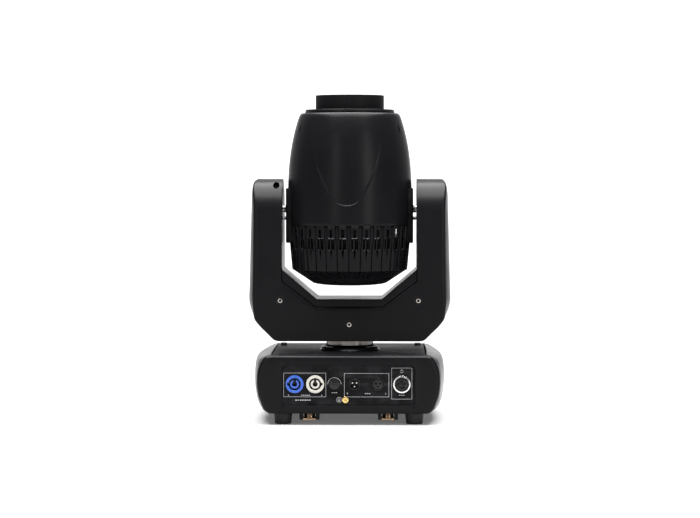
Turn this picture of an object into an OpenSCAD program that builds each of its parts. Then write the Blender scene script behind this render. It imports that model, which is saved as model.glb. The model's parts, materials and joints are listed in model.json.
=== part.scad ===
// Moving head light: a free-standing base, a yoke that pans on it and a head that tilts in the yoke.
// Millimetres. +Z is up, -Y is the connector side, and the origin is the centre of the feet on the floor.

/* [Base] */
// Widest width of the base, at mid depth
base_w = 271; // [268:1:272]
// Width of the flat rear and front faces
base_face_w = 250; // [246:1:252]
// Depth of the base
base_d = 220; // [218:1:230]
// Top of the base above the floor
base_top = 97.6; // [97:0.1:99]
// Height of the rubber feet
foot_h = 16; // [15:0.5:17]

/* [Yoke] */
// Width across the crowned arms
yoke_w = 289; // [287:1:290]
// Depth of the yoke
yoke_d = 96.6; // [95:0.2:98]
// Underside of the yoke
yoke_z = 112; // [111.5:0.1:112.5]
// Space between the arms
yoke_gap = 191; // [190.6:0.1:191.4]
// Height of the tilt axis
tilt_z = 293.6; // [293:0.1:295]

/* [Head] */
// Largest radius of the head cover
head_r = 88.6; // [88:0.1:89]
// Top of the head cover
head_top = 436; // [435:0.5:437]
// Top of the lens barrel
barrel_top = 461.5; // [458:0.5:462]
// Radius of the lens barrel
barrel_r = 48.9; // [48:0.1:49.5]
// Number of fins in the vent cage
fins = 32; // [24:2:32]

/* [Details] */
// Wall of the plastic covers
wall = 3; // [2.5:0.1:3]
// Gap left around moving and fitted round parts
fit = 0.05; // [0.03:0.01:0.08]
// Positions at which the tilt lock can hold the head
lock_notches = 12; // [4:4:12]

/* [Hidden] */
$fn = 64;
over = 1;

// Base
base_half = base_w / 2;
face_half = base_face_w / 2;
base_low_half = 115;
base_top_half = 113;
top_plate_half = 107;
bezel_d = 12;
seam_y = base_d / 2 - bezel_d;
face_wall = 5;
panel_y = base_d / 2 - face_wall;
recess_w = 186;
recess_h = 57;
recess_z = 55.7;
plate_t = 1.5;
tray_t = 2;
tray_top = foot_h + tray_t;
foot_x = 92;
foot_y = 86;
receptacle_x = 55;
receptacle_y = 80;
receptacle_r = 5.5;
socket_z = 57;
bumper_x = 98;
bumper_y = 66;

// Pan drive
neck_r = 34;
neck_low_z = 101.5;
collar_top = 102.2;
hub_r = 24;
hub_bore = 17;
hub_z = 58;
pan_plate_z = 82;
pan_pulley_r = 42;
motor_pulley_r = 8;
pan_pulley_z = 62;
pulley_h = 12;
pan_motor_x = -75;
motor_w = 42;
belt_t = 1.5;
belt_gap = 0.15;
motor_shaft_r = 2.5;

// Yoke
yoke_half = yoke_w / 2;
yoke_face_half = 135;
gap_half = yoke_gap / 2;
arm_r = yoke_d / 2;
arm_top = tilt_z + arm_r;
bar_top = 172;
bar_corner = 46;
arm_corner_z = 214;
ledge = 3;
frame_z = 119;
frame_x = 99;
frame_t = 3;
frame_half_d = 34;
tilt_motor_z = 150;
tilt_pulley_r = 36;
tilt_pulley_x = 107;
tilt_pulley_w = 10;
trunnion_r = 17;
trunnion_x = 96;
bearing_r = 24;
cover_screws = [[-98, 170], [98, 170], [0, 136]];
lock_x = -104.2;
lock_angle = 54;
lock_disc_r = 30;
lock_hole_z = 333;
pin_r = 2.5;

// Head
side_plate_x = 90.7;
side_plate_t = 3;
side_plate_half = 28;
side_plate_low = 251;
side_plate_high = 329;
cover_low = 276.5;
cover_wall = 2.5;
slit_angle = 26;
upright_x = 70;
upright_half = 32;
sink_top = 258;
chassis_top = 385;
shelf_z = 296;
wheel_y = 34;
wheel_r = 46;
wheel_shaft_r = 2.4;
rod_x = 50;
rod_r = 3;
lens_z = 446;

// Points along a curve from a to c that leaves and arrives towards b.
function curve(a, b, c, n) =
    [for (i = [0:n]) let (t = i / n) (1 - t) * (1 - t) * a + 2 * t * (1 - t) * b + t * t * c];
function mirrored(points) = [for (i = [len(points) - 1:-1:0]) [-points[i].x, points[i].y]];
function symmetric(points) = concat(points, mirrored(points));
function arc(r, from, to, n) = [for (i = [0:n]) let (a = from + (to - from) * i / n) r * [cos(a), sin(a)]];

// Extrudes an XZ outline along Y, and a YZ outline along X.
module along_y(depth) rotate([90, 0, 0]) linear_extrude(depth, center = true) children();
module along_x(width) rotate([90, 0, 90]) linear_extrude(width, center = true) children();
module rod_x(from, to, r) translate([from, 0, 0]) rotate([0, 90, 0]) cylinder(r = r, h = to - from);
module box(from, to) translate(from) cube(to - from);
module leaf(w, h) polygon(concat(
    curve([0, -h / 2], [w, 0], [0, h / 2], 8), curve([0, h / 2], [-w, 0], [0, -h / 2], 8)));
module both_sides() {
    children();
    mirror([1, 0, 0]) children();
}

// ---------------------------------------------------------------- base shells

function base_section(t) = symmetric(concat(
    curve([base_low_half - t, foot_h + t], [base_half - t - 3, foot_h + t + 6], [base_half - t, 62], 8),
    curve([base_half - t, 74], [base_half - t, base_top - t], [base_top_half - t, base_top - t], 8)));
function base_plan(t) = symmetric(curve([face_half - t, t - base_d / 2],
    [2 * base_half - face_half - t, 0], [face_half - t, base_d / 2 - t], 12));

module base_form(t) intersection() {
    along_y(base_d - 2 * t) polygon(base_section(t));
    linear_extrude(base_top + over) polygon(base_plan(t));
}
module between_y(from, to) intersection() {
    children();
    box([-base_w, from, 0], [base_w, to, base_top + over]);
}
module base_shell() difference() {
    base_form(0);
    base_form(wall);
}
module rounded_plate(w, h, r, depth) linear_extrude(depth)
    offset(r) square([w - 2 * r, h - 2 * r], center = true);

// Local frame of a socket: +Z points out of the rear face and z = 0 is the front of the connector plate.
module on_rear(x, z) translate([x, -panel_y, z]) rotate([90, 0, 0]) children();
module on_front(x, z) mirror([0, 1, 0]) on_rear(x, z) children();

module bezel(side) difference() {
    between_y(min(side * seam_y, side * base_d / 2), max(side * seam_y, side * base_d / 2)) base_form(0);
    between_y(min(side * (seam_y - over), side * panel_y), max(side * (seam_y - over), side * panel_y))
        base_form(wall);
    for (end = [-1, 1], z = [35.5, 87]) translate([end * face_half, side * seam_y, z])
        along_x(8) leaf(4, 9.5);
    children();
}

module rear_bezel() color("#1c1c1e") bezel(-1)
    on_rear(0, recess_z) translate([0, 0, -over])
        rounded_plate(recess_w, recess_h, 6.5, face_wall + 2 * over);

module window_hole(grow) linear_extrude(face_wall + 2 * over) square([84 + grow, 38 + grow], center = true);

BUTTONS = [[42, 47], [62, 47], [42, 67], [62, 67]];
button_r = 5.4;
module front_bezel() color("#1c1c1e") bezel(1) {
    on_front(-18, socket_z) translate([0, 0, -over]) window_hole(0);
    for (at = BUTTONS) on_front(at.x, at.y) translate([0, 0, -over])
        cylinder(r = button_r + 0.2, h = face_wall + 2 * over);
}

module base_top_cover() color("#202022") difference() {
    union() {
        box([-top_plate_half, -seam_y, base_top - wall], [top_plate_half, seam_y, base_top]);
        translate([0, 0, base_top - wall]) cylinder(r = neck_r + 12, h = wall);
        translate([0, 0, base_top - over])
            cylinder(r1 = neck_r + 8.5, r2 = neck_r + 6, h = collar_top - base_top + over);
        for (x = [-bumper_x, bumper_x]) translate([x, bumper_y, base_top - over])
            cylinder(r1 = 5, r2 = 4, h = 4 + over);
    }
    translate([0, 0, base_top - wall - over]) cylinder(r = hub_r + 1.5, h = wall + 4);
    translate([0, 0, base_top - 1])
        cylinder(r1 = hub_r + 3, r2 = neck_r + 4.5, h = collar_top - base_top + 1.01);
}

module base_side_covers() color("#2a2a2c") difference() {
    between_y(-seam_y, seam_y) base_shell();
    box([-top_plate_half, -seam_y - over, 0], [top_plate_half, seam_y + over, base_top + over]);
}

module base_bottom_tray() color("#18181a") difference() {
    union() {
        box([-top_plate_half, -seam_y, foot_h], [top_plate_half, seam_y, tray_top]);
        for (x = [-receptacle_x, receptacle_x], y = [-receptacle_y, receptacle_y])
            box([x - 14, y - 12, 6], [x + 14, y + 12, foot_h]);
    }
    for (x = [-receptacle_x, receptacle_x], y = [-receptacle_y, receptacle_y])
        box([x - 9, y - 12 - over, 6 - over], [x + 9, y + 12 + over, foot_h - 1]);
    for (x = [-foot_x, foot_x], y = [-foot_y, foot_y]) translate([x, y, foot_h - over])
        cylinder(r = 2.2, h = tray_t + 2 * over);
}

module bracket_receptacles() color("#8a7a66")
    for (x = [-receptacle_x, receptacle_x], y = [-receptacle_y, receptacle_y])
        translate([x, y, 0]) difference() {
        union() {
            box([-8.9, -11, 5], [8.9, 11, 8]);
            translate([0, 0, 8]) cylinder(r = 7.6, h = foot_h - 9);
        }
        translate([0, 0, 5 - over]) cylinder(r = receptacle_r, h = foot_h);
    }

module rubber_feet() color("#141414")
    for (x = [-foot_x, foot_x], y = [-foot_y, foot_y]) translate([x, y, 0]) difference() {
        cylinder(r1 = 11.5, r2 = 13, h = foot_h);
        translate([0, 0, -over]) cylinder(r = 5, h = 9 + over);
        translate([0, 0, -over]) cylinder(r = 2.2, h = foot_h + 2 * over);
    }

// ---------------------------------------------------------------- connectors

// One entry for each socket: x, z and the radius of its hole in the connector plate.
POWER_IN = [-75, socket_z];
POWER_OUT = [-46.4, socket_z];
FUSE = [-19.5, socket_z];
DATA_IN = [8.5, socket_z];
DATA_OUT = [41.4, socket_z];
AUX = [74.4, socket_z];
EARTH = [-4.2, 35.4];
PLATE_HOLES = [
    [POWER_IN, 12.6], [POWER_OUT, 12.6], [FUSE, 6.6],
    [DATA_IN, 8.1], [DATA_OUT, 9.1], [AUX, 10.5], [EARTH, 2.1]
];

module connector_plate() color("#1a1a1c") difference() {
    box([-recess_w / 2 - 3, -panel_y, recess_z - recess_h / 2 - 3],
        [recess_w / 2 + 3, plate_t - panel_y, recess_z + recess_h / 2 + 3]);
    for (hole = PLATE_HOLES) on_rear(hole[0].x, hole[0].y) translate([0, 0, -plate_t - over])
        cylinder(r = hole[1], h = plate_t + 2 * over);
}

// A body through the plate with a flange behind it.
module socket_body(r, depth, proud, flange_w, flange_h) {
    translate([0, 0, -depth]) cylinder(r = r, h = depth + proud);
    translate([-flange_w / 2, -flange_h / 2, -plate_t - 3]) cube([flange_w, flange_h, 3]);
}

module power_socket(turn) difference() {
    socket_body(12.5, 24, 1.2, 28, 31);
    translate([0, 0, -14]) difference() {
        cylinder(r = 8.65, h = 16);
        cylinder(r = 6.1, h = 16);
    }
    translate([0, 0, -12]) cylinder(r = 3.65, h = 14);
    rotate(turn) translate([7.4, -2, -14]) cube([3.2, 4, 16]);
    translate([-1.8, 2, -12]) cube([3.6, 5, 14]);
}
module power_in_socket() color("#2a5fd6") on_rear(POWER_IN.x, POWER_IN.y) power_socket(180);
module power_out_socket() color("#e8e6dc") on_rear(POWER_OUT.x, POWER_OUT.y) power_socket(0);

module fuse_holder() color("#1a1a1a") on_rear(FUSE.x, FUSE.y) difference() {
    union() {
        translate([0, 0, 0]) cylinder(r = 7.4, h = 1.5);
        translate([0, 0, -28]) cylinder(r = 6.5, h = 28 + over);
    }
    translate([0, 0, -26]) cylinder(r = 5.2, h = 28);
}
module fuse_cap() color("#202020") on_rear(FUSE.x, FUSE.y) difference() {
    union() {
        translate([0, 0, 1.55]) cylinder(r = 6.2, h = 3.4);
        translate([0, 0, -6]) cylinder(r = 5.1, h = 7.6);
    }
    translate([-6.5, -0.7, 4]) cube([13, 1.4, 2]);
    translate([0, 0, -6 - over]) cylinder(r = 2.7, h = 5);
}

PINS = [[-2.9, 1.8], [2.9, 1.8], [0, -3.2]];
module data_in_socket() color("#161616") on_rear(DATA_IN.x, DATA_IN.y) {
    difference() {
        socket_body(8, 20, 0.8, 22, 26);
        translate([0, 0, -12]) cylinder(r = 7, h = 14);
    }
    for (at = PINS) translate([at.x, at.y, -12]) cylinder(r = 1.2, h = 10.5);
}
module data_out_socket() color("#161616") on_rear(DATA_OUT.x, DATA_OUT.y) difference() {
    socket_body(9, 20, 0.8, 22, 26);
    translate([0, 0, -10]) difference() {
        cylinder(r = 8.1, h = 12);
        cylinder(r = 7.1, h = 12);
    }
    for (at = PINS) translate([at.x, at.y, -8]) cylinder(r = 1.3, h = 10);
}
module aux_socket() on_rear(AUX.x, AUX.y) {
    color("silver") difference() {
        union() {
            cylinder(r = 12.15, h = 2.2);
            translate([0, 0, -12]) cylinder(r = 10.4, h = 12 + over);
        }
        translate([0, 0, -12 - over]) cylinder(r = 9 + fit, h = 16);
    }
    color("#141414") difference() {
        translate([0, 0, -18]) cylinder(r = 9, h = 18.6);
        for (i = [0:4]) rotate(-54 + 72 * i) translate([4.6, 0, -8]) cylinder(r = 1.1, h = 10);
    }
}
module earth_terminal() color("#c9a24a") on_rear(EARTH.x, EARTH.y) difference() {
    union() {
        cylinder(r = 4.5, h = 2.6);
        translate([0, 0, -9]) cylinder(r = 2, h = 9 + over);
    }
    translate([0, 0, -1]) cylinder(r = 1.3, h = 5);
}

module display_window() color("#0c0f14") on_front(-18, socket_z) {
    translate([0, 0, 2]) linear_extrude(2) square([83.8, 37.8], center = true);
    translate([0, 0, -1.5]) linear_extrude(1.5) square([88, 42], center = true);
    linear_extrude(2) square([83.8, 37.8], center = true);
}

module menu_button(i) color("#3a3a3c") on_front(BUTTONS[i].x, BUTTONS[i].y) {
    translate([0, 0, -3]) cylinder(r = button_r, h = face_wall + 3);
    translate([0, 0, -3]) cylinder(r = button_r + 1, h = 2.9);
}
module button_menu() menu_button(0);
module button_down() menu_button(1);
module button_up() menu_button(2);
module button_enter() menu_button(3);

// ---------------------------------------------------------------- inside the base

module power_supply() color("#9a9c9e") difference() {
    box([62, -70, tray_top], [104, 60, 58]);
    for (i = [-4:4]) box([66, 12 * i - 3, 54], [100, 12 * i + 3, 58 + over]);
}

module control_board() color("#1f6b3a") {
    box([-45, 34, 28], [45, 92, 29.6]);
    for (x = [-28, 0, 28]) box([x - 8, 55, 29.6], [x + 8, 71, 33]);
    for (x = [-40, 40], y = [39, 87]) translate([x, y, tray_top]) cylinder(r = 3, h = 28 - tray_top);
}

module pan_frame() color("#5a5c60") {
    difference() {
        box([-60, -60, pan_plate_z], [60, 60, pan_plate_z + 3]);
        translate([0, 0, pan_plate_z - over]) cylinder(r = 35 + fit, h = 3 + 2 * over);
        translate([pan_motor_x, 0, pan_plate_z - over]) cylinder(r = 24, h = 3 + 2 * over);
    }
    for (x = [-54, 54], y = [-54, 54]) translate([x, y, tray_top])
        cylinder(r = 4, h = pan_plate_z - tray_top);
}

module ring_z(r_in, r_out, from, to) translate([0, 0, from]) difference() {
    cylinder(r = r_out, h = to - from);
    translate([0, 0, -over]) cylinder(r = r_in, h = to - from + 2 * over);
}

module pan_bearing() color("silver") {
    ring_z(hub_r + 2 * fit, 35, pan_plate_z - 3, pan_plate_z + 5);
}

module pan_motor() color("#2b2b2e") difference() {
    translate([pan_motor_x, 0, 0])
        box([-motor_w / 2, -motor_w / 2, tray_top], [motor_w / 2, motor_w / 2, 58]);
    translate([pan_motor_x, 0, 40]) cylinder(r = motor_shaft_r + 2 * fit, h = 20);
}
module pan_motor_pulley() color("#b0b2b5") translate([pan_motor_x, 0, 0]) {
    translate([0, 0, pan_pulley_z]) cylinder(r = motor_pulley_r, h = pulley_h);
    translate([0, 0, 42]) cylinder(r = motor_shaft_r, h = pan_pulley_z - 42 + over);
}

module belt_loop(big_r, small_r, distance) difference() {
    hull() {
        circle(big_r + belt_gap + belt_t);
        translate([distance, 0]) circle(small_r + belt_gap + belt_t);
    }
    hull() {
        circle(big_r + belt_gap);
        translate([distance, 0]) circle(small_r + belt_gap);
    }
}
module pan_belt() color("#0f0f0f") translate([0, 0, pan_pulley_z + 1])
    linear_extrude(pulley_h - 2) belt_loop(pan_pulley_r, motor_pulley_r, pan_motor_x);

// ---------------------------------------------------------------- yoke

module pan_hub() color("#8e9196") difference() {
    union() {
        translate([0, 0, hub_z]) cylinder(r = hub_r, h = frame_z - hub_z);
        translate([0, 0, frame_z - 3]) cylinder(r = neck_r + 4, h = 3);
    }
    translate([0, 0, hub_z - over]) cylinder(r = hub_bore, h = frame_z - hub_z + 2 * over);
}

module neck_ring() color("#d8dadc") rotate_extrude($fn = 96) polygon(concat([[hub_r + fit, neck_low_z]],
    curve([neck_r - 4, neck_low_z], [neck_r, neck_low_z], [neck_r, neck_low_z + 3.5], 6),
    [[neck_r, yoke_z], [neck_r - 1, yoke_z], [neck_r - 1, yoke_z + wall], [hub_r + fit, yoke_z + wall]]));

module pan_pulley() color("#c0c2c5") ring_z(hub_r + fit, pan_pulley_r, pan_pulley_z, pan_pulley_z + pulley_h);

module yoke_outline() polygon(symmetric(concat(
    curve([100, yoke_z], [105.5, yoke_z], [109.5, yoke_z + 4], 4), [[116, 122.5]],
    curve([122.7, 128.8], [yoke_half + 0.4, 150], [yoke_half, 174], 8),
    curve([yoke_half - 4, arm_top - 25], [yoke_half - 5, arm_top], [yoke_half - 14, arm_top], 6),
    [[gap_half, arm_top], [gap_half, arm_corner_z], [bar_corner, bar_top]])));

// The stretch along the crossbar where the outer faces step back.
module step_outline() polygon(symmetric([
    [gap_half, arm_corner_z], [gap_half + 1, 197], [bar_corner + 2, bar_top - 12],
]));

module arm_profile(t) polygon(concat(
    [[arm_r - t, yoke_z - over]], [for (p = arc(arm_r - t, 0, 180, 24)) p + [0, tilt_z]],
    [[t - arm_r, yoke_z - over]]));
module arm_crown(t) polygon(symmetric(curve(
    [yoke_face_half - t, -arm_r], [2 * yoke_half - yoke_face_half - t, 0], [yoke_face_half - t, arm_r], 10)));

module yoke_limits(t) intersection() {
    children();
    along_x(2 * yoke_w) arm_profile(t);
    translate([0, 0, yoke_z - over]) linear_extrude(arm_top) arm_crown(t);
}

module yoke_solid() yoke_limits(0) {
    union() {
        along_y(yoke_d - 2 * ledge) yoke_outline();
        along_y(yoke_d) difference() {
            yoke_outline();
            step_outline();
        }
    }
}
module yoke_hollow() yoke_limits(wall) union() {
    along_y(yoke_d - 2 * ledge - 2 * wall) offset(delta = -wall) yoke_outline();
    along_y(yoke_d) offset(delta = -wall) difference() {
        yoke_outline();
        step_outline();
    }
}

module lock_frame() translate([lock_x, 0, tilt_z]) rotate([90 - lock_angle, 0, 0]) children();

module yoke_cover(side) difference() {
    intersection() {
        yoke_solid();
        box([-yoke_w, min(0, side * yoke_d), yoke_z - over], [yoke_w, max(0, side * yoke_d), arm_top + over]);
    }
    yoke_hollow();
    translate([0, 0, tilt_z]) both_sides() rod_x(gap_half - over, gap_half + wall + over, trunnion_r + 2);
    translate([0, 0, yoke_z - over]) cylinder(r = neck_r - 1 + 2 * fit, h = wall + 2 * over);
    for (at = cover_screws) translate([at.x, 0, at.y]) rotate([-90 * side, 0, 0]) {
        cylinder(r = 1.8, h = arm_r + over);
        translate([0, 0, arm_r - 1.2]) cylinder(r = 3.4, h = 2);
    }
}
module yoke_rear_cover() color("#1d1d1f") difference() {
    yoke_cover(-1);
    translate([lock_x, -8, lock_hole_z]) rotate([90, 0, 0]) cylinder(r = 4.6, h = arm_r);
}
module yoke_front_cover() color("#1d1d1f") yoke_cover(1);

module yoke_screws() color("#c9c9c9") for (side = [-1, 1], at = cover_screws)
    translate([at.x, 0, at.y]) rotate([-90 * side, 0, 0]) difference() {
        union() {
            translate([0, 0, arm_r - 1.2]) cylinder(r = 3.2, h = 1);
            translate([0, 0, arm_r - 12]) cylinder(r = 1.5, h = 11);
        }
        translate([0, 0, arm_r - 1]) cylinder(r = 1.9, h = 1, $fn = 6);
    }

module yoke_frame() color("#55575b") difference() {
    union() {
        box([-frame_x - frame_t, -frame_half_d, frame_z],
            [frame_x + frame_t, frame_half_d, frame_z + frame_t]);
        both_sides() {
            box([frame_x, -frame_half_d, frame_z], [frame_x + frame_t, frame_half_d, tilt_z]);
            translate([0, 0, tilt_z]) rod_x(frame_x, frame_x + frame_t, frame_half_d);
        }
        lock_frame() translate([0, 0, lock_disc_r + 1.5]) cylinder(r = 5, h = 6.5);
    }
    translate([0, 0, frame_z - over]) cylinder(r = hub_bore, h = frame_t + 2 * over);
    translate([0, 0, tilt_z]) both_sides() rod_x(frame_x - over, frame_x + frame_t + over, bearing_r + fit);
    translate([0, 0, tilt_motor_z]) rod_x(frame_x - over, frame_x + frame_t + over, 11);
    lock_frame() translate([0, 0, lock_disc_r - 5]) cylinder(r = pin_r + fit, h = 17);
}

module tilt_lock_pin() color("#303032") lock_frame() {
    translate([0, 0, lock_disc_r + 1]) cylinder(r = pin_r, h = 12);
    translate([0, 0, lock_disc_r + 12.2]) cylinder(r = 4.2, h = 2.8);
}

module tilt_motor() color("#2b2b2e") translate([0, 0, tilt_motor_z]) difference() {
    box([62, -motor_w / 2, -motor_w / 2], [frame_x, motor_w / 2, motor_w / 2]);
    rod_x(78, frame_x + over, motor_shaft_r + 2 * fit);
}
module tilt_motor_pulley() color("#b0b2b5") translate([0, 0, tilt_motor_z]) {
    rod_x(tilt_pulley_x, tilt_pulley_x + tilt_pulley_w, motor_pulley_r);
    rod_x(80, tilt_pulley_x + over, motor_shaft_r);
}
module tilt_belt() color("#0f0f0f") translate([tilt_pulley_x + 5, 0, tilt_z])
    along_x(tilt_pulley_w - 2) rotate(-90) belt_loop(tilt_pulley_r, motor_pulley_r, tilt_z - tilt_motor_z);

module ring_x(r_in, r_out, from, to) difference() {
    rod_x(from, to, r_out);
    rod_x(from - over, to + over, r_in);
}
module tilt_bearings() color("silver") translate([0, 0, tilt_z]) both_sides()
    ring_x(trunnion_r + fit, bearing_r, frame_x - 0.3, frame_x + frame_t);

// ---------------------------------------------------------------- head frame and tilt hubs

module tilt_hubs() color("#9a9da2") translate([0, 0, tilt_z]) {
    both_sides() {
        ring_x(6, trunnion_r, trunnion_x, trunnion_x + 6.2);
        for (y = [-9, 9]) {
            translate([0, y, 5.4]) rod_x(side_plate_x, trunnion_x, 5);
            translate([0, y, -7.8]) rod_x(side_plate_x, trunnion_x, 2.25);
        }
    }
    ring_x(6, trunnion_r, trunnion_x + 6.2, 120);
    difference() {
        mirror([1, 0, 0]) ring_x(6, lock_disc_r, trunnion_x + 6.4, trunnion_x + 10);
        for (i = [0:lock_notches - 1]) rotate([90 - lock_angle + 360 / lock_notches * i, 0, 0])
            translate([lock_x, 0, lock_disc_r]) cube([5, 5.6, 9], center = true);
    }
    mirror([1, 0, 0]) ring_x(6, trunnion_r, trunnion_x + 6.2, trunnion_x + 6.4);
}

module tilt_pulley() color("#c0c2c5") translate([0, 0, tilt_z])
    ring_x(trunnion_r + fit, tilt_pulley_r, tilt_pulley_x, tilt_pulley_x + tilt_pulley_w);

module tilt_side_plates() color("#1a1a1c") both_sides() {
    difference() {
        box([78, -side_plate_half, side_plate_low], [side_plate_x, side_plate_half, side_plate_high]);
        box([78 - over, 3 - side_plate_half, side_plate_low + 3],
            [side_plate_x - side_plate_t, side_plate_half - 3, side_plate_high - 3]);
    }
    for (y = [-19, 19], z = [-24, 24]) translate([0, y, tilt_z + z])
        rod_x(upright_x + frame_t, side_plate_x - side_plate_t + 0.5, 5);
}

module head_chassis() color("#6a6c70") {
    difference() {
        union() {
            translate([0, 0, sink_top]) cylinder(r = 68, h = 2);
            for (z = [sink_top, chassis_top])
                box([-upright_x - frame_t, -upright_half, z], [upright_x + frame_t, upright_half, z + 2]);
            both_sides() box([upright_x, -upright_half, sink_top],
                [upright_x + frame_t, upright_half, chassis_top + 2]);
            intersection() {
                box([-upright_x - over, -52, shelf_z], [upright_x + over, 52, shelf_z + 2]);
                translate([0, 0, shelf_z]) cylinder(r = 80, h = 2);
            }
            for (x = [-rod_x, rod_x]) translate([x, 0, shelf_z + 1])
                cylinder(r = rod_r, h = chassis_top - shelf_z);
        }
        translate([0, 0, sink_top - over]) cylinder(r = 23, h = 4);
        translate([0, 0, shelf_z - over]) cylinder(r = 14, h = 4);
        for (y = [-wheel_y, wheel_y]) translate([0, y, shelf_z - over]) cylinder(r = 4, h = 4);
        translate([0, 0, chassis_top - over]) cylinder(r = 39, h = 4);
    }
}

// ---------------------------------------------------------------- head shells

function cover_side(t) = concat([[head_r - 0.5 - t, cover_low]],
    curve([head_r - t, 315], [head_r + 1 - t, 385], [head_r - 17.2 - t, head_top - t], 10));
function reversed(points) = [for (i = [len(points) - 1:-1:0]) points[i]];

module side_plate_opening() both_sides()
    box([60, -side_plate_half - 0.3, side_plate_low - 0.3],
        [100, side_plate_half + 0.3, side_plate_high + 0.3]);

module head_cover() difference() {
    rotate_extrude(angle = 180, $fn = 96) polygon(concat(cover_side(0),
        [[62, head_top], [62, head_top - cover_wall]], reversed(cover_side(cover_wall))));
    side_plate_opening();
}
module head_front_cover() color("#1e1e20") head_cover();
module head_rear_cover() color("#1e1e20") difference() {
    rotate(180) head_cover();
    both_sides() rotate(-slit_angle) translate([75, 0, 412.5]) along_x(40) leaf(3, 15);
}

module head_top_ring() color("#262628") ring_z(41, 64.2, head_top, head_top + 5);

module lens_barrel() color("#1b1b1d") {
    difference() {
        union() {
            translate([0, 0, head_top + 5]) cylinder(r = barrel_r, h = barrel_top - head_top - 5);
            translate([0, 0, chassis_top + 2]) cylinder(r = 41 - fit, h = head_top + 6 - chassis_top);
        }
        translate([0, 0, chassis_top]) cylinder(r = 38.5, h = 80);
        translate([0, 0, lens_z]) cylinder(r = 44, h = 30);
    }
}

module front_lens() color([0.75, 0.85, 0.9, 0.5]) intersection() {
    translate([0, 0, lens_z]) cylinder(r = 44 - fit, h = 13);
    translate([0, 0, lens_z + 12 - 100]) sphere(r = 100, $fn = 128);
}

CAGE_SIDE = [[66.1, 202.2], [82.7, 213], [83.2, 218], [84.5, 233], [85.9, 247], [87.5, cover_low]];
module vent_cage() color("#232325") difference() {
    rotate_extrude($fn = 96) polygon(concat(CAGE_SIDE,
        [[84.5, cover_low], [82.9, 247], [81.5, 233], [80.2, 218], [79.7, 214.9], [64.5, 204.7]]));
    for (i = [0:fins - 1]) rotate(360 / fins * (i + 0.5)) {
        box([70, -2, 226], [95, 2, 272]);
        box([70, -5.2, 243.3], [95, 5.2, 259.6]);
    }
    side_plate_opening();
}

module head_bottom_cap() color("#161618") difference() {
    rotate_extrude($fn = 96) polygon(concat([[0, 190]], curve([20, 190], [44, 190.4], [52.6, 193.2], 5),
        [[66.1, 202.2], [64, 203.9], [51.4, 195.5], [0, 192.5]]));
    for (i = [-4:4]) let (half = sqrt(38 * 38 - 64 * i * i))
        box([8 * i - 2, -half, 188], [8 * i + 2, half, 196]);
}

// ---------------------------------------------------------------- inside the head

module heat_sink() color("#a8aaad") {
    translate([0, 0, 250]) cylinder(r = 68, h = sink_top - 250);
    intersection() {
        translate([0, 0, 210]) cylinder(r = 68, h = 41);
        for (i = [-7:7]) box([-70, 9 * i - 1, 210], [70, 9 * i + 1, 250.5]);
    }
}

module led_engine() color("#d8c25a") {
    translate([0, 0, sink_top]) cylinder(r = 22, h = 2);
    translate([0, 0, sink_top + 2]) cylinder(r = 19, h = 14);
    translate([0, 0, sink_top + 16]) cylinder(r1 = 19, r2 = 15, h = 10);
    difference() {
        translate([0, 0, sink_top + 2]) cylinder(r = 62, h = 16);
        translate([0, 0, sink_top + 2 - over]) cylinder(r = 60, h = 15);
    }
}

module fan_frame() color("#111111") {
    difference() {
        translate([0, 0, 197]) cylinder(r = 48, h = 12);
        translate([0, 0, 196]) cylinder(r = 41, h = 20);
    }
    for (a = [0:90:270]) rotate(a) box([10, -1.5, 206.5], [42, 1.5, 208.5]);
    translate([0, 0, 206.5]) cylinder(r = 12, h = 2);
    translate([0, 0, 200]) cylinder(r = 1.5, h = 7);
}
module fan_rotor() color("#2a2a2a") difference() {
    union() {
        translate([0, 0, 198.5]) cylinder(r = 11, h = 7.5);
        for (a = [0:360 / 7:359]) rotate(a) translate([24, 0, 202.2]) rotate([35, 0, 0])
            cube([30, 7, 1], center = true);
    }
    translate([0, 0, 197]) cylinder(r = 1.5 + fit, h = 12);
}

module effect_motors() color("#2b2b2e") {
    for (y = [-wheel_y, wheel_y]) translate([0, y, 0]) difference() {
        translate([0, 0, 284]) cylinder(r = 14, h = shelf_z - 284);
        translate([0, 0, 286]) cylinder(r = wheel_shaft_r + fit, h = 20);
    }
}

// A wheel with a ring of openings that pass the lamp's axis.
module effect_wheel(z, holes, hole_r) {
    difference() {
        translate([0, 0, z]) cylinder(r = wheel_r, h = 1.5);
        for (i = [0:holes - 1]) rotate(360 / holes * i) translate([wheel_y, 0, z - over])
            cylinder(r = hole_r, h = 4);
    }
    translate([0, 0, 287]) cylinder(r = wheel_shaft_r, h = z + 4 - 287);
}
module colour_wheel() color("#b04a80") translate([0, wheel_y, 0]) rotate(-90) effect_wheel(301, 8, 11);
module gobo_wheel() color("#707276") translate([0, -wheel_y, 0]) rotate(90) effect_wheel(308, 7, 10);

module focus_carriage() color("#8a8c90") difference() {
    union() {
        translate([0, 0, 330]) cylinder(r = 30, h = 12);
        box([-rod_x - 8, -8, 330], [rod_x + 8, 8, 333]);
        for (x = [-rod_x, rod_x]) translate([x, 0, 326]) cylinder(r = 6, h = 14);
    }
    translate([0, 0, 329]) cylinder(r = 26, h = 20);
    for (x = [-rod_x, rod_x]) translate([x, 0, 320]) cylinder(r = rod_r + fit, h = 30);
}
module focus_lens() color([0.75, 0.85, 0.9, 0.5]) rotate_extrude($fn = 96)
    polygon(concat([[0, 331]], curve([2, 331], [14, 331.2], [26 - fit, 334], 5), [[26 - fit, 337]],
        reversed(curve([2, 340], [14, 339.8], [26 - fit, 337.1], 5)), [[0, 340]]));

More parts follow.
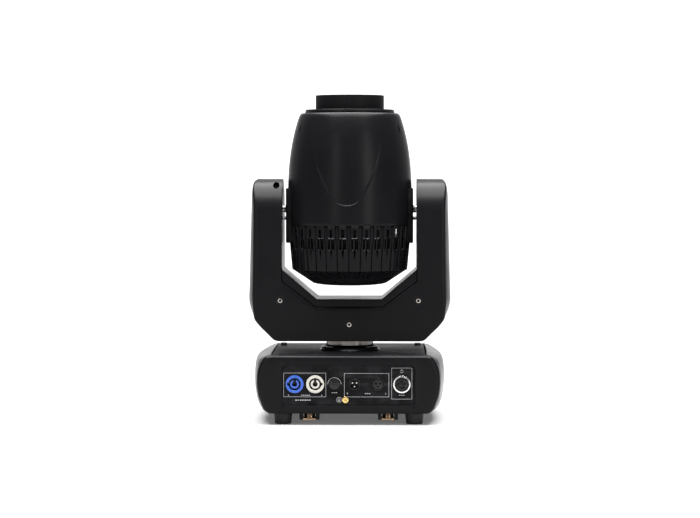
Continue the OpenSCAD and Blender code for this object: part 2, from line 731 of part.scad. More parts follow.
base_bottom_tray();
base_top_cover();
base_side_covers();
rear_bezel();
front_bezel();
connector_plate();
display_window();
power_in_socket();
power_out_socket();
fuse_holder();
data_in_socket();
data_out_socket();
aux_socket();
earth_terminal();
power_supply();
control_board();
pan_frame();
pan_bearing();
pan_motor();
pan_belt();
rubber_feet();
bracket_receptacles();
fuse_cap();
button_menu();
button_down();
button_up();
button_enter();
pan_motor_pulley();
tilt_motor_pulley();
tilt_lock_pin();
fan_rotor();
colour_wheel();
gobo_wheel();
focus_carriage();
focus_lens();
pan_hub();
neck_ring();
pan_pulley();
yoke_frame();
yoke_rear_cover();
yoke_front_cover();
yoke_screws();
tilt_motor();
tilt_belt();
tilt_bearings();
head_chassis();
tilt_side_plates();
tilt_hubs();
tilt_pulley();
head_rear_cover();
head_front_cover();
head_top_ring();
lens_barrel();
front_lens();
vent_cage();
head_bottom_cap();
heat_sink();
led_engine();
fan_frame();
effect_motors();
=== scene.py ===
import json
import math

import bmesh
import bpy
import numpy as np
from mathutils import Euler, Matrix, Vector


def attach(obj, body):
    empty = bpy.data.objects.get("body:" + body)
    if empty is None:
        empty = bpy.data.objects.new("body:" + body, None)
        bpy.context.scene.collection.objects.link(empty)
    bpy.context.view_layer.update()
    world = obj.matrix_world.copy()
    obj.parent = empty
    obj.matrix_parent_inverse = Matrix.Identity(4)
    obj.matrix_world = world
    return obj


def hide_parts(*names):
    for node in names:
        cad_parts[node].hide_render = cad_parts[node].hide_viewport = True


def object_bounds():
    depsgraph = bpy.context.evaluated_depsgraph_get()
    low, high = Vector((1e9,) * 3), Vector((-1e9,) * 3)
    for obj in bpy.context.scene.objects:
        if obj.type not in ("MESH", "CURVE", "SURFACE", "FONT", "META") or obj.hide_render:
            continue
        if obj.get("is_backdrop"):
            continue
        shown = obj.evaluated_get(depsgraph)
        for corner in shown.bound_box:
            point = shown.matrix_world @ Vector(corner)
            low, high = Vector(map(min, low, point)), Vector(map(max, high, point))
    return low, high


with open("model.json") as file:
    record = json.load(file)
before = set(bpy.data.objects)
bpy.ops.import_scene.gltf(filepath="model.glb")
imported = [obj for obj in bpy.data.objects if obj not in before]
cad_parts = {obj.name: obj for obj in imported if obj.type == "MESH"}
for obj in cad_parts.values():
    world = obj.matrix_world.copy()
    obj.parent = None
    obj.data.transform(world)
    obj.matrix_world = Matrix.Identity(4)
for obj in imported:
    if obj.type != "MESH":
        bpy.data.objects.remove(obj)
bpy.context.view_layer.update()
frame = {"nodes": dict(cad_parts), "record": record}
MM = 0.001
scene = bpy.context.scene
slot_of = {part["node"]: part["material_slot"] for part in frame["record"]["subparts"]}
body_of = {
    node: body for body, nodes in frame["record"]["behaviour"]["bodies"].items() for node in nodes
}


# ---------------------------------------------------------------- materials
class Shader:
    """A node material built up step by step; an argument is a number, a colour or a socket."""

    def __init__(self, name):
        self.material = bpy.data.materials.new(name)
        self.material.use_nodes = True
        self.nodes = self.material.node_tree.nodes
        self.links = self.material.node_tree.links
        self.surface = self.nodes["Principled BSDF"]
        self.place = self.nodes.new("ShaderNodeTexCoord").outputs["Object"]

    def put(self, socket, value):
        if isinstance(value, bpy.types.NodeSocket):
            self.links.new(value, socket)
        elif isinstance(value, (tuple, list)):
            socket.default_value = (*value[:3], 1)
        else:
            socket.default_value = value

    def noise(self, scale, detail=3.0, rough=0.6, stretch=None):
        place = self.place
        if stretch:
            node = self.nodes.new("ShaderNodeMapping")
            node.inputs["Scale"].default_value = stretch
            self.links.new(place, node.inputs["Vector"])
            place = node.outputs["Vector"]
        node = self.nodes.new("ShaderNodeTexNoise")
        self.links.new(place, node.inputs["Vector"])
        node.inputs["Scale"].default_value = scale
        node.inputs["Detail"].default_value = detail
        node.inputs["Roughness"].default_value = rough
        return node.outputs["Fac"]

    def span(self, value, low, high, to_low=0.0, to_high=1.0):
        node = self.nodes.new("ShaderNodeMapRange")
        self.links.new(value, node.inputs["Value"])
        for key, number in (("From Min", low), ("From Max", high), ("To Min", to_low), ("To Max", to_high)):
            node.inputs[key].default_value = number
        return node.outputs["Result"]

    def maths(self, kind, a, b=0.0):
        node = self.nodes.new("ShaderNodeMath")
        node.operation = kind
        self.put(node.inputs[0], a)
        self.put(node.inputs[1], b)
        return node.outputs[0]

    def mix(self, share, a, b):
        node = self.nodes.new("ShaderNodeMix")
        node.data_type = "RGBA"
        self.put(node.inputs[0], share)
        self.put(node.inputs[6], a)
        self.put(node.inputs[7], b)
        return node.outputs[2]

    def edges(self, low=0.53, high=0.62):
        node = self.nodes.new("ShaderNodeNewGeometry")
        return self.span(node.outputs["Pointiness"], low, high)

    def axis(self, index):
        node = self.nodes.new("ShaderNodeSeparateXYZ")
        self.links.new(self.place, node.inputs[0])
        return node.outputs[index]

    def bump(self, height, strength, depth):
        node = self.nodes.new("ShaderNodeBump")
        node.inputs["Strength"].default_value = strength
        node.inputs["Distance"].default_value = depth
        self.links.new(height, node.inputs["Height"])
        self.links.new(node.outputs["Normal"], self.surface.inputs["Normal"])

    def set(self, **values):
        for key, value in values.items():
            self.put(self.surface.inputs[key.replace("_", " ")], value)
        return self.material


def moulded(name, dark, light, rough, grain=1500, depth=0.00006, wear=0.3, spec=0.5, coat=0.0):
    """Moulded plastic: a fine spark-eroded grain, faint cloudy patches, duller dust and paler worn edges."""
    s = Shader(name)
    clouds = s.noise(9, 4)
    speck = s.noise(grain, 2)
    colour = s.mix(clouds, dark, light)
    worn = s.maths("MULTIPLY", s.edges(), s.span(s.noise(60, 3), 0.35, 0.7, 0, wear))
    colour = s.mix(worn, colour, [min(1, 3.2 * c + 0.012) for c in light])
    patches = s.span(s.noise(26, 5, 0.7), 0.3, 0.75, rough - 0.05, rough + 0.07)
    s.bump(speck, 0.35, depth)
    return s.set(
        Base_Color=colour, Roughness=patches, Specular_IOR_Level=spec, Coat_Weight=coat, Coat_Roughness=0.12
    )


def metal(name, dark, light, rough, streak=None, wear=0.25, scale=700):
    s = Shader(name)
    lines = s.noise(scale, 3, 0.6, streak)
    colour = s.mix(s.noise(14, 4), dark, light)
    colour = s.mix(s.maths("MULTIPLY", s.edges(), wear), colour, [min(1, 1.3 * c) for c in light])
    s.bump(lines, 0.3, 0.00004)
    worn = s.span(lines, 0.25, 0.75, rough - 0.06, rough + 0.1)
    return s.set(Base_Color=colour, Metallic=1.0, Roughness=worn)


def socket_plastic(name, bright, deep, face_y):
    """Glossy nylon with painted shade: the colour turns to the deep colour with depth into the grooves, so
    the grooves are darker than the rims.
    """
    s = Shader(name)
    # painted shade: depth behind the socket's face turns the colour to the deep shade colour
    depth = s.span(s.axis(1), face_y + 0.0006, face_y + 0.004)
    colour = s.mix(depth, s.mix(s.noise(180, 3), bright, [0.9 * c for c in bright]), deep)
    colour = s.mix(s.maths("MULTIPLY", s.edges(), 0.35), colour, [min(1, 1.15 * c + 0.05) for c in bright])
    s.bump(s.noise(900, 2), 0.15, 0.00003)
    return s.set(Base_Color=colour, Roughness=s.span(s.noise(70, 4), 0.3, 0.7, 0.24, 0.36))


def beside(s, x, z):
    """Distance from a line along Y through x and z."""
    across = s.maths("SUBTRACT", s.axis(0), x * 0.001)
    up = s.maths("SUBTRACT", s.axis(2), z * 0.001)
    return s.maths("SQRT", s.maths("ADD", s.maths("MULTIPLY", across, across), s.maths("MULTIPLY", up, up)))


def pin_socket():
    """Black nylon with three plated pins."""
    s = Shader("pin_socket")
    outer, lower = beside(s, 11.4, 58.8), beside(s, 8.5, 53.8)
    near = s.maths("MINIMUM", beside(s, 5.6, 58.8), s.maths("MINIMUM", outer, lower))
    plated = s.span(near, 0.0009, 0.0008)
    plated = s.maths("MULTIPLY", plated, s.span(s.axis(1), -0.1038, -0.1036))
    black = s.mix(s.noise(60), (0.005, 0.005, 0.005), (0.008, 0.008, 0.008))
    colour = s.mix(plated, black, (0.82, 0.8, 0.74))
    s.bump(s.noise(900), 0.2, 0.00003)
    worn = s.span(s.noise(70, 4), 0.3, 0.7, 0.22, 0.34)
    return s.set(Base_Color=colour, Metallic=plated, Roughness=worn, Specular_IOR_Level=0.3)


def lamp_house():
    """A black shroud round the yellow face of the lamp."""
    s = Shader("lamp_house")
    x, y = s.axis(0), s.axis(1)
    far = s.maths("SQRT", s.maths("ADD", s.maths("MULTIPLY", x, x), s.maths("MULTIPLY", y, y)))
    face = s.maths("MULTIPLY", s.span(far, 0.0145, 0.014), s.span(s.axis(2), 0.2825, 0.283))
    black = s.mix(s.noise(30), (0.004, 0.004, 0.0045), (0.007, 0.007, 0.0075))
    colour = s.mix(face, black, (0.75, 0.62, 0.18))
    s.bump(s.noise(500), 0.2, 0.00004)
    worn = s.span(s.noise(50), 0.3, 0.7, 0.5, 0.66)
    return s.set(Base_Color=colour, Roughness=worn, Specular_IOR_Level=0.15)


def socket_screw():
    """A steel screw head whose hexagon socket is painted near black as shade."""
    s = Shader("screw_steel")
    near = s.maths("MINIMUM", beside(s, 0, 136), s.maths("MINIMUM", beside(s, 98, 170), beside(s, -98, 170)))
    # painted shade: within 1.85 mm of each screw's centre, where the socket is, the head is near black and
    # not metallic
    bare = s.span(near, 0.00185, 0.002)
    colour = s.mix(bare, (0.004, 0.004, 0.004), s.mix(s.noise(90), (0.42, 0.38, 0.34), (0.6, 0.56, 0.52)))
    s.bump(s.noise(800), 0.2, 0.00003)
    worn = s.span(s.noise(200), 0.3, 0.7, 0.22, 0.34)
    return s.set(Base_Color=colour, Metallic=bare, Roughness=worn, Specular_IOR_Level=0.1)


def ringed_socket():
    """A plated ring round a black insert."""
    s = Shader("ringed_socket")
    plated = s.span(beside(s, 74.4, 57), 0.0101, 0.0102)
    colour = s.mix(s.noise(40), (0.62, 0.61, 0.58), (0.78, 0.77, 0.74))
    colour = s.mix(plated, (0.005, 0.005, 0.005), colour)
    s.bump(s.noise(900), 0.2, 0.00003)
    worn = s.span(s.noise(70, 4), 0.3, 0.7, 0.18, 0.3)
    return s.set(Base_Color=colour, Metallic=plated, Roughness=worn, Specular_IOR_Level=0.3)


def circuit_board():
    s = Shader("circuit_board")
    tracks = s.span(s.noise(260, 1, 0.4, (1, 0.2, 1)), 0.5, 0.52)
    colour = s.mix(tracks, (0.012, 0.09, 0.035), (0.03, 0.17, 0.06))
    tall = s.span(s.axis(2), 0.0299, 0.0301)
    colour = s.mix(tall, colour, (0.015, 0.015, 0.017))
    s.bump(tracks, 0.3, 0.0001)
    return s.set(Base_Color=colour, Roughness=s.span(s.noise(90), 0.3, 0.7, 0.28, 0.45))


def glass(name, tint):
    s = Shader(name)
    colour = s.mix(s.noise(6, 2), tint, [0.94 * c for c in tint])
    s.bump(s.noise(35, 2), 0.02, 0.00005)
    return s.set(
        Base_Color=colour, Roughness=s.span(s.noise(120, 4), 0.3, 0.8, 0.01, 0.05), IOR=1.5,
        Transmission_Weight=0.92, Coat_Weight=0.4, Coat_Tint=(0.6, 0.75, 1.0), Coat_Roughness=0.02,
    )


def filters():
    """A steel disc with eight colour filters round its edge."""
    s = Shader("filter_wheel")
    x = s.axis(0)
    y = s.maths("SUBTRACT", s.axis(1), 0.034)
    turn = s.maths("ARCTAN2", y, x)
    ramp = s.nodes.new("ShaderNodeValToRGB")
    ramp.color_ramp.interpolation = "CONSTANT"
    s.links.new(s.span(turn, -math.pi, math.pi), ramp.inputs[0])
    tints = [(0.9, 0.05, 0.04), (0.95, 0.4, 0.03), (0.9, 0.8, 0.05), (0.05, 0.6, 0.1), (0.03, 0.5, 0.7),
             (0.04, 0.1, 0.7), (0.5, 0.05, 0.6), (0.8, 0.8, 0.8)]
    for i, tint in enumerate(tints):
        stop = ramp.color_ramp.elements[0] if i == 0 else ramp.color_ramp.elements.new(i / len(tints))
        stop.position = i / len(tints)
        stop.color = (*tint, 1)
    far = s.maths("SQRT", s.maths("ADD", s.maths("MULTIPLY", x, x), s.maths("MULTIPLY", y, y)))
    colour = s.mix(s.span(far, 0.0195, 0.02), (0.6, 0.6, 0.62), ramp.outputs[0])
    s.bump(s.noise(500), 0.2, 0.00003)
    return s.set(Base_Color=colour, Metallic=0.7, Roughness=s.span(s.noise(60), 0.3, 0.7, 0.15, 0.3))


def grey(tone, blue):
    """A near neutral colour with its own blue part."""
    return (tone, tone, blue)


MATERIALS = {
    "black_plastic": moulded("black_plastic", grey(0.0036, 0.0041), grey(0.0054, 0.006), 0.32, spec=0.1),
    "head_plastic": moulded("head_plastic", grey(0.0032, 0.0037), grey(0.0048, 0.0055), 0.32, spec=0.1),
    "side_plastic": moulded("side_plastic", grey(0.004, 0.0045), grey(0.006, 0.0065), 0.3,
                            depth=0.00003, spec=0.26),
    "gloss_plastic": moulded("gloss_plastic", grey(0.006, 0.0065), grey(0.009, 0.0095), 0.3,
                             depth=0.00004, spec=0.3),
    "plate_plastic": moulded("plate_plastic", grey(0.0036, 0.004), grey(0.0054, 0.006), 0.5, spec=0.03),
    "cap_plastic": moulded("cap_plastic", grey(0.0025, 0.0028), grey(0.004, 0.0045), 0.42, spec=0.18),
    "cage_plastic": moulded("cage_plastic", grey(0.0032, 0.0037), grey(0.0048, 0.0055), 0.27, spec=0.1),
    "black_steel": moulded("black_steel", grey(0.0036, 0.0041), grey(0.0054, 0.006), 0.5,
                           2400, wear=0.5, spec=0.06),
    "side_steel": moulded("side_steel", grey(0.0036, 0.004), grey(0.0054, 0.0058), 0.8,
                          2400, wear=0.5, spec=0.02),
    "frame_steel": metal("frame_steel", (0.33, 0.34, 0.37), (0.45, 0.46, 0.48), 0.35, grey(1, 0.06)),
    "display": moulded("display", (0.004, 0.005, 0.007), (0.006, 0.007, 0.01), 0.06, 300, 0.000004, 0.1),
    # each socket plastic's second colour is the painted shade deep in its grooves
    "blue_plastic": socket_plastic("blue_plastic", (0.028, 0.1, 0.45), (0.0, 0.002, 0.065), -0.105),
    "white_plastic": socket_plastic("white_plastic", (0.53, 0.51, 0.455), (0.028, 0.024, 0.016), -0.105),
    "socket_plastic": moulded("socket_plastic", grey(0.005, 0.005), grey(0.008, 0.008), 0.32, 900, spec=0.3),
    "pin_socket": pin_socket(),
    "ringed_socket": ringed_socket(),
    "zinc": metal("zinc", (0.3, 0.19, 0.11), (0.46, 0.31, 0.19), 0.26),
    "brass": metal("brass", (0.62, 0.42, 0.14), (0.8, 0.58, 0.24), 0.24),
    "supply_case": metal("supply_case", (0.5, 0.51, 0.53), (0.62, 0.63, 0.65), 0.38, (1, 0.08, 1)),
    "circuit_board": circuit_board(),
    "bearing_steel": metal("bearing_steel", grey(0.6, 0.61), grey(0.74, 0.75), 0.2),
    "motor": moulded("motor", grey(0.012, 0.014), grey(0.02, 0.022), 0.4, 600, wear=0.6),
    "belt_rubber": moulded("belt_rubber", grey(0.006, 0.006), grey(0.012, 0.012), 0.7, 500, 0.0002),
    "rubber": moulded("rubber", grey(0.007, 0.007), grey(0.012, 0.012), 0.66, 900, 0.0001, spec=0.35),
    "button_plastic": moulded("button_plastic", grey(0.02, 0.022), grey(0.03, 0.032), 0.42),
    "aluminium": metal("aluminium", (0.6, 0.61, 0.63), (0.74, 0.75, 0.77), 0.28, grey(1, 0.1)),
    "chrome": metal("chrome", (0.1, 0.09, 0.08), (0.19, 0.18, 0.175), 0.1, scale=300),
    "lens_glass": glass("lens_glass", (0.8, 0.87, 0.93)),
    "filter_wheel": filters(),
    "led_package": lamp_house(),
    "screw_steel": socket_screw(),
    # near black, matt and without sheen: painted shade for the inside of holes
    "hole_shade": moulded("hole_shade", grey(0.0012, 0.0014), grey(0.002, 0.0022), 0.9,
                          500, wear=0.0, spec=0.0),
    "print": moulded("print", grey(0.34, 0.35), grey(0.46, 0.47), 0.5, 800, 0.00002, 0.1),
    # near-black fins: a black finish that also paints the shade inside the head seen through the vents
    "fin_black": moulded("fin_black", grey(0.004, 0.0045), grey(0.007, 0.0075), 0.6, 600, spec=0.12),
}


# ---------------------------------------------------------------- mesh helpers, in millimetres
def piece(name, points, faces, material, body, stands_for=(), slot=None, sharp=32, thick=0.0):
    """A mesh piece that rides on a body and takes the place of some CAD nodes."""
    mesh = bpy.data.meshes.new(name)
    mesh.from_pydata([tuple(float(c) * MM for c in p) for p in points], [], [tuple(f) for f in faces])
    return finish_piece(name, mesh, material, body, stands_for, sharp, thick)


def finish_piece(name, mesh, material, body, stands_for, sharp, thick=0.0):
    made = bmesh.new()
    made.from_mesh(mesh)
    bmesh.ops.remove_doubles(made, verts=made.verts, dist=0.00001)
    bmesh.ops.recalc_face_normals(made, faces=made.faces)
    made.to_mesh(mesh)
    made.free()
    mesh.validate()
    for polygon in mesh.polygons:
        polygon.use_smooth = True
    mesh.set_sharp_from_angle(angle=math.radians(sharp))
    mesh.materials.clear()
    mesh.materials.append(MATERIALS[material])
    thing = bpy.data.objects.new(name, mesh)
    scene.collection.objects.link(thing)
    if thick:
        wall = thing.modifiers.new("wall", "SOLIDIFY")
        wall.thickness = thick * MM
        wall.offset = -1
        wall.use_rim = True
    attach(thing, body)
    if stands_for:
        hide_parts(*stands_for)
    return thing


def grid(rows, wrap=False, skip=None, start=0):
    """Faces between rows of points of the same length."""
    high, wide = len(rows), len(rows[0])
    faces = []
    for i in range(high - 1):
        for j in range(wide if wrap else wide - 1):
            if skip and skip(i, j):
                continue
            k = (j + 1) % wide
            here, above = start + i * wide, start + (i + 1) * wide
            faces.append((here + j, here + k, above + k, above + j))
    return [p for row in rows for p in row], faces


def turned(profile, count=96, centre=(0, 0, 0), axis="z"):
    """Points and faces of a closed or open profile of (radius, height) pairs turned round an axis."""
    rows = []
    for r, h in profile:
        row = []
        for i in range(count):
            a = 2 * math.pi * i / count
            c, s = r * math.cos(a), r * math.sin(a)
            if axis == "z":
                p = (c, s, h)
            elif axis == "y":
                p = (c, -h, s)
            else:
                p = (h, c, s)
            row.append((p[0] + centre[0], p[1] + centre[1], p[2] + centre[2]))
        rows.append(row)
    return grid(rows, wrap=True)


def join(*parts):
    points, faces = [], []
    for more_points, more_faces in parts:
        base = len(points)
        points += list(more_points)
        faces += [tuple(base + i for i in f) for f in more_faces]
    return points, faces


def rounded(profile, radius=0.5, steps=3, closed=True):
    """The profile with each corner rounded."""
    out = []
    n = len(profile)
    for i, p in enumerate(profile):
        if not closed and i in (0, n - 1):
            out.append(tuple(p))
            continue
        a, b = np.array(profile[i - 1], float), np.array(profile[(i + 1) % n], float)
        p = np.array(p, float)
        la, lb = np.linalg.norm(a - p), np.linalg.norm(b - p)
        r = min(radius, la * 0.45, lb * 0.45)
        s, e = p + (a - p) / max(la, 1e-9) * r, p + (b - p) / max(lb, 1e-9) * r
        for k in range(steps + 1):
            t = k / steps
            out.append(tuple((1 - t) ** 2 * s + 2 * t * (1 - t) * p + t * t * e))
    return out


def closed_turn(profile, radius=0.5, count=96, **where):
    ring = rounded(profile, radius)
    return turned(ring + [ring[0]], count, **where)


def bezier(a, b, c, n):
    a, b, c = np.array(a, float), np.array(b, float), np.array(c, float)
    return [tuple((1 - t) ** 2 * a + 2 * t * (1 - t) * b + t * t * c) for t in np.linspace(0, 1, n + 1)]


def smooth_through(points, per):
    """A Catmull-Rom curve through the points."""
    p = [np.array(q, float) for q in points]
    p = [2 * p[0] - p[1], *p, 2 * p[-1] - p[-2]]
    out = []
    for i in range(1, len(p) - 2):
        for k in range(per):
            t = k / per
            bend = 2 * p[i - 1] - 5 * p[i] + 4 * p[i + 1] - p[i + 2]
            twist = 3 * p[i] - p[i - 1] - 3 * p[i + 1] + p[i + 2]
            out.append(0.5 * (2 * p[i] + (p[i + 1] - p[i - 1]) * t + bend * t * t + twist * t ** 3))
    out.append(p[-2])
    return [tuple(q) for q in out]


def step(x, low, high):
    t = min(1.0, max(0.0, (x - low) / (high - low)))
    return t * t * (3 - 2 * t)


def box(low, high):
    x0, y0, z0 = low
    x1, y1, z1 = high
    p = [(x, y, z) for z in (z0, z1) for x, y in ((x0, y0), (x1, y0), (x1, y1), (x0, y1))]
    f = [(0, 3, 2, 1), (4, 5, 6, 7), (0, 1, 5, 4), (1, 2, 6, 5), (2, 3, 7, 6), (3, 0, 4, 7)]
    return p, f


def cut_hole(mesh, loop, inward, depth, reach, taper=0.0):
    """Opens a hole with the given loop of surface points in a mesh, fills round it and gives it walls."""
    made = bmesh.new()
    made.from_mesh(mesh)
    loop = [Vector(p) * MM for p in loop]
    middle = sum(loop, Vector()) / len(loop)
    inward = Vector(inward).normalized()
    reach *= MM
    flat = lambda p: (p - middle) - inward * (p - middle).dot(inward)
    size = max(flat(p).length for p in loop)
    near = [
        f for f in made.faces
        if abs((f.calc_center_median() - middle).dot(inward)) < 12 * MM
        and min(flat(f.calc_center_median() - (p - middle)).length for p in loop) < reach
        or flat(f.calc_center_median()).length < size * 0.5
        and abs((f.calc_center_median() - middle).dot(inward)) < 12 * MM
    ]
    bmesh.ops.delete(made, geom=near, context="FACES")
    rim = [e for e in made.edges if len(e.link_faces) == 1
           and all(flat(v.co).length < size + 3 * reach for v in e.verts)
           and all(abs((v.co - middle).dot(inward)) < 14 * MM for v in e.verts)]
    ring = [made.verts.new(p) for p in loop]
    edges = [made.edges.new((ring[i], ring[(i + 1) % len(ring)])) for i in range(len(ring))]
    bmesh.ops.triangle_fill(made, use_beauty=True, use_dissolve=False, edges=rim + edges, normal=-inward)
    last = ring
    for far, shrink in ((0.25, 0.0), (depth, taper)):
        new = [made.verts.new(p + inward * far * MM + (middle - p) * shrink) for p in loop]
        for i in range(len(ring)):
            k = (i + 1) % len(ring)
            made.faces.new((last[i], last[k], new[k], new[i]))
        last = new
    if taper:
        made.faces.new(last)
    bmesh.ops.recalc_face_normals(made, faces=made.faces)
    made.to_mesh(mesh)
    made.free()


def refine(node, material=None, width=0.35, segments=2, angle=28, sharp=35, body=None):
    """A copy of a CAD node with its flat faces merged and its edges rounded."""
    source = frame["nodes"][node]
    made = bmesh.new()
    made.from_mesh(source.data)
    bmesh.ops.remove_doubles(made, verts=made.verts, dist=0.000005)
    bmesh.ops.dissolve_limit(
        made, angle_limit=math.radians(0.6), use_dissolve_boundaries=False, verts=made.verts, edges=made.edges
    )
    if width:
        keen = [e for e in made.edges
                if len(e.link_faces) == 2 and e.calc_face_angle(0) > math.radians(angle)]
        bmesh.ops.bevel(
            made, geom=keen, offset=width * MM, offset_type="OFFSET", segments=segments, profile=0.5,
            affect="EDGES", clamp_overlap=True, harden_normals=False,
        )
    mesh = bpy.data.meshes.new("fine_" + node)
    made.to_mesh(mesh)
    made.free()
    return finish_piece(
        "fine_" + node, mesh, material or slot_of[node], body or body_of[node], (node,), sharp
    )


# ---------------------------------------------------------------- head
HEAD_R, COVER_LOW, HEAD_TOP = 88.6, 276.5, 436.0
PLATE_HALF, PLATE_HIGH = 28.3, 329.3
SIDE_CURVE = bezier((HEAD_R, 315), (HEAD_R + 1, 385), (HEAD_R - 17.2, HEAD_TOP - 1.5), 60)


def cover_radius(z):
    if z < 315:
        return HEAD_R - 0.5 * (315 - z) / (315 - COVER_LOW)
    return float(np.interp(z, [p[1] for p in SIDE_CURVE], [p[0] for p in SIDE_CURVE]))


def crease(x, z):
    """How far the surface is sunk inside the U-shaped panel line of the rear cover."""
    heights = [305, 306, 307.5, 311, 317, 323, 337, 358, 378, 400, 425]
    halves = [0, 7, 11.5, 16.5, 21.5, 25.5, 33, 41.5, 46, 48, 49]
    half = float(np.interp(z, heights, halves))
    inside = half - abs(x + 3.0) if z > 305 else -9
    if z > 305:
        inside = min(inside, (z - 304.8) * 0.9)
    return 1.3 * step(inside, -0.2, 1.3) * (1 - 0.8 * step(z, 325, 385)) * (1 - step(z, 385, 415))


def head_cover(side):
    """One half of the head's cover, from the parting line at one side round to the other."""
    angles = []
    for a in np.concatenate([np.arange(-90, -38, 1.9), np.arange(-38, 38, 0.6), np.arange(38, 90.01, 1.9)]):
        angles.append(float(a))
    angles[0], angles[-1] = -89.88, 89.88
    heights = [COVER_LOW, COVER_LOW + 0.5, COVER_LOW + 1.2, 281, 287, 293, 299, 303]
    heights += list(np.arange(304, 330, 0.9))
    heights = [h for h in heights if abs(h - PLATE_HIGH) > 0.5] + [PLATE_HIGH]
    heights += list(np.arange(330.5, 398, 1.5)) + list(np.arange(399, 432, 2.2))
    heights = sorted(heights)
    cut = math.asin(PLATE_HALF / HEAD_R)
    limit = 90 - math.degrees(cut)
    near = min(range(len(angles)), key=lambda i: abs(angles[i] - limit))
    angles[near], angles[len(angles) - 1 - near] = limit, -limit
    rows = []
    for z in heights:
        r = cover_radius(z)
        if z < COVER_LOW + 1:
            r -= 0.6 * (1 - (z - COVER_LOW))
        row = []
        for j, a in enumerate(angles):
            t = math.radians(a)
            if z <= PLATE_HIGH and j in (near, len(angles) - 1 - near):
                t = math.copysign(math.pi / 2 - math.asin(PLATE_HALF / r), t)
            x = r * math.sin(t)
            d = crease(x, z) if side < 0 else 0.0
            row.append(((r - d) * math.sin(t), side * (r - d) * math.cos(t), z))
        rows.append(row)
    top = []
    r = cover_radius(434.5)
    for rr, z in ((r + 0.5, 432.4), (r - 0.6, 434.2), (r - 2.2, HEAD_TOP - 0.35), (r - 4.2, HEAD_TOP),
                  (62.3, HEAD_TOP)):
        top.append([(rr * math.sin(math.radians(a)), side * rr * math.cos(math.radians(a)), z)
                    for a in angles])
    rows += top
    low, high = min(near, len(angles) - 1 - near), max(near, len(angles) - 1 - near)
    skip = lambda i, j: rows[i + 1][0][2] <= PLATE_HIGH + 0.01 and (j < low or j >= high)
    points, faces = grid(rows, skip=skip)
    return points, faces


for side, node in ((-1, "head_rear_cover"), (1, "head_front_cover")):
    points, faces = head_cover(side)
    cover = piece(node + "_shell", points, faces, "head_plastic", "head", (node,), sharp=40, thick=2.4)
    if side < 0:
        for end in (-1, 1):
            turn = math.radians(26)
            away = Vector((end * math.cos(turn), -math.sin(turn), 0))
            along = Vector((-away.y, away.x, 0))
            loop = []
            for k in range(28):
                t = 2 * math.pi * k / 28
                z = 412.5 + 7.5 * math.sin(t)
                u = 2.1 * math.cos(t) * abs(math.cos(t)) ** 0.6
                p = away * cover_radius(z) + along * u
                loop.append((p.x, p.y, z))
            cut_hole(cover.data, loop, -away, 2.6, 2.6, 0.12)

points, faces = closed_turn(
    [(64.1, 436.6), (64.1, 437.6), (63.2, 441), (41.2, 441), (41.2, 436.05), (61, 436.05)], 0.5, 160)
piece("lid_ring", points, faces, "head_plastic", "head", ("head_top_ring",))
points, faces = closed_turn(
    [(48.9, 441.05), (48.9, 460.9), (48.2, 461.5), (45, 461.5), (44.1, 460.4), (44.1, 446), (38.5, 446),
     (38.5, 387.1), (40.9, 387.1), (40.9, 441.05)], 0.4, 160)
piece("barrel_tube", points, faces, "black_steel", "head", ("lens_barrel",))
refine("front_lens", None, 0.4, 3)
made = bmesh.new()
for end in (-1, 1):
    block = bmesh.ops.create_cube(made, size=1.0)["verts"]
    bmesh.ops.scale(made, vec=Vector((11.7, 56, 78)) * MM, verts=block)
    bmesh.ops.translate(made, vec=Vector((end * 84.85, 0, 290)) * MM, verts=block)
keen = [e for e in made.edges
        if abs(e.verts[0].co.z - e.verts[1].co.z) < 0.001 or e.verts[0].co.x ** 2 > 0.0081]
bmesh.ops.bevel(made, geom=keen, offset=1.8 * MM, segments=4, profile=0.5, affect="EDGES", clamp_overlap=True)
mesh = bpy.data.meshes.new("side_plates")
made.to_mesh(mesh)
made.free()
finish_piece("side_plate_shells", mesh, "side_steel", "head", ("tilt_side_plates",),
             50)
refine("tilt_hubs", "aluminium", 0.3, 2)

# the vent cage: 32 broad ribs, each with a tapered slot, a window and a thin bar across the window
PITCHES = 32
CAGE = [(66.1, 202.2), (74.4, 207.6), (82.7, 213), (83.2, 218), (84.5, 233), (85.9, 247), (86.7, 262),
        (87.5, 276.3)]


def cage_radius(z):
    return float(np.interp(z, [p[1] for p in CAGE], [p[0] for p in CAGE]))


def cage_cell(turn):
    """One pitch of the cage: a rib between two grooves, with its three openings."""
    heights = [202.2, 203, 205, 207.6, 210.5, 212.2, 213, 214.2, 218, 224, 229.5, 232, 236, 240, 243.3,
               248, 253, 259.6, 262, 266, 270.5, 272, 274, 276.3]
    rows = []
    for z in heights:
        r = cage_radius(z)
        half = math.pi * r / PITCHES
        groove = 1.5 + 4.2 * step(z, 236, 266)
        slot = 0.4 + 3.0 * step(z, 229, 244) if z < 244 else 4.0
        marks = [-half, -half + groove * 0.32, -half + groove / 2, -half + groove / 2 + 0.7, -5.2,
                 -slot / 2 - 0.6, -slot / 2]
        marks[4] = max(marks[4], marks[3] + 0.4)
        marks += [-m for m in reversed(marks)]
        sunk = [2.3, 2.1, 0.5, 0.1, 0.0, 0.0, 0.12]
        sunk += list(reversed(sunk))
        row = []
        for m, d in zip(marks, sunk):
            a = turn + m / r
            rr = r - d - 0.5 * (m / half) ** 2
            row.append((rr * math.cos(a), rr * math.sin(a), z))
        rows.append(row)

    def skip(i, j):
        z = (heights[i] + heights[i + 1]) / 2
        if 229.5 < z < 243.3 and j == 6 or 259.6 < z < 272 and j == 6:
            return True
        if 243.3 < z < 259.6 and 4 <= j <= 8:
            return True
        p = np.mean([rows[i][j], rows[i][j + 1], rows[i + 1][j], rows[i + 1][j + 1]], axis=0)
        return abs(p[1]) < PLATE_HALF - 1.0 and abs(p[0]) > 60 and z > 250.7

    return grid(rows, skip=skip)


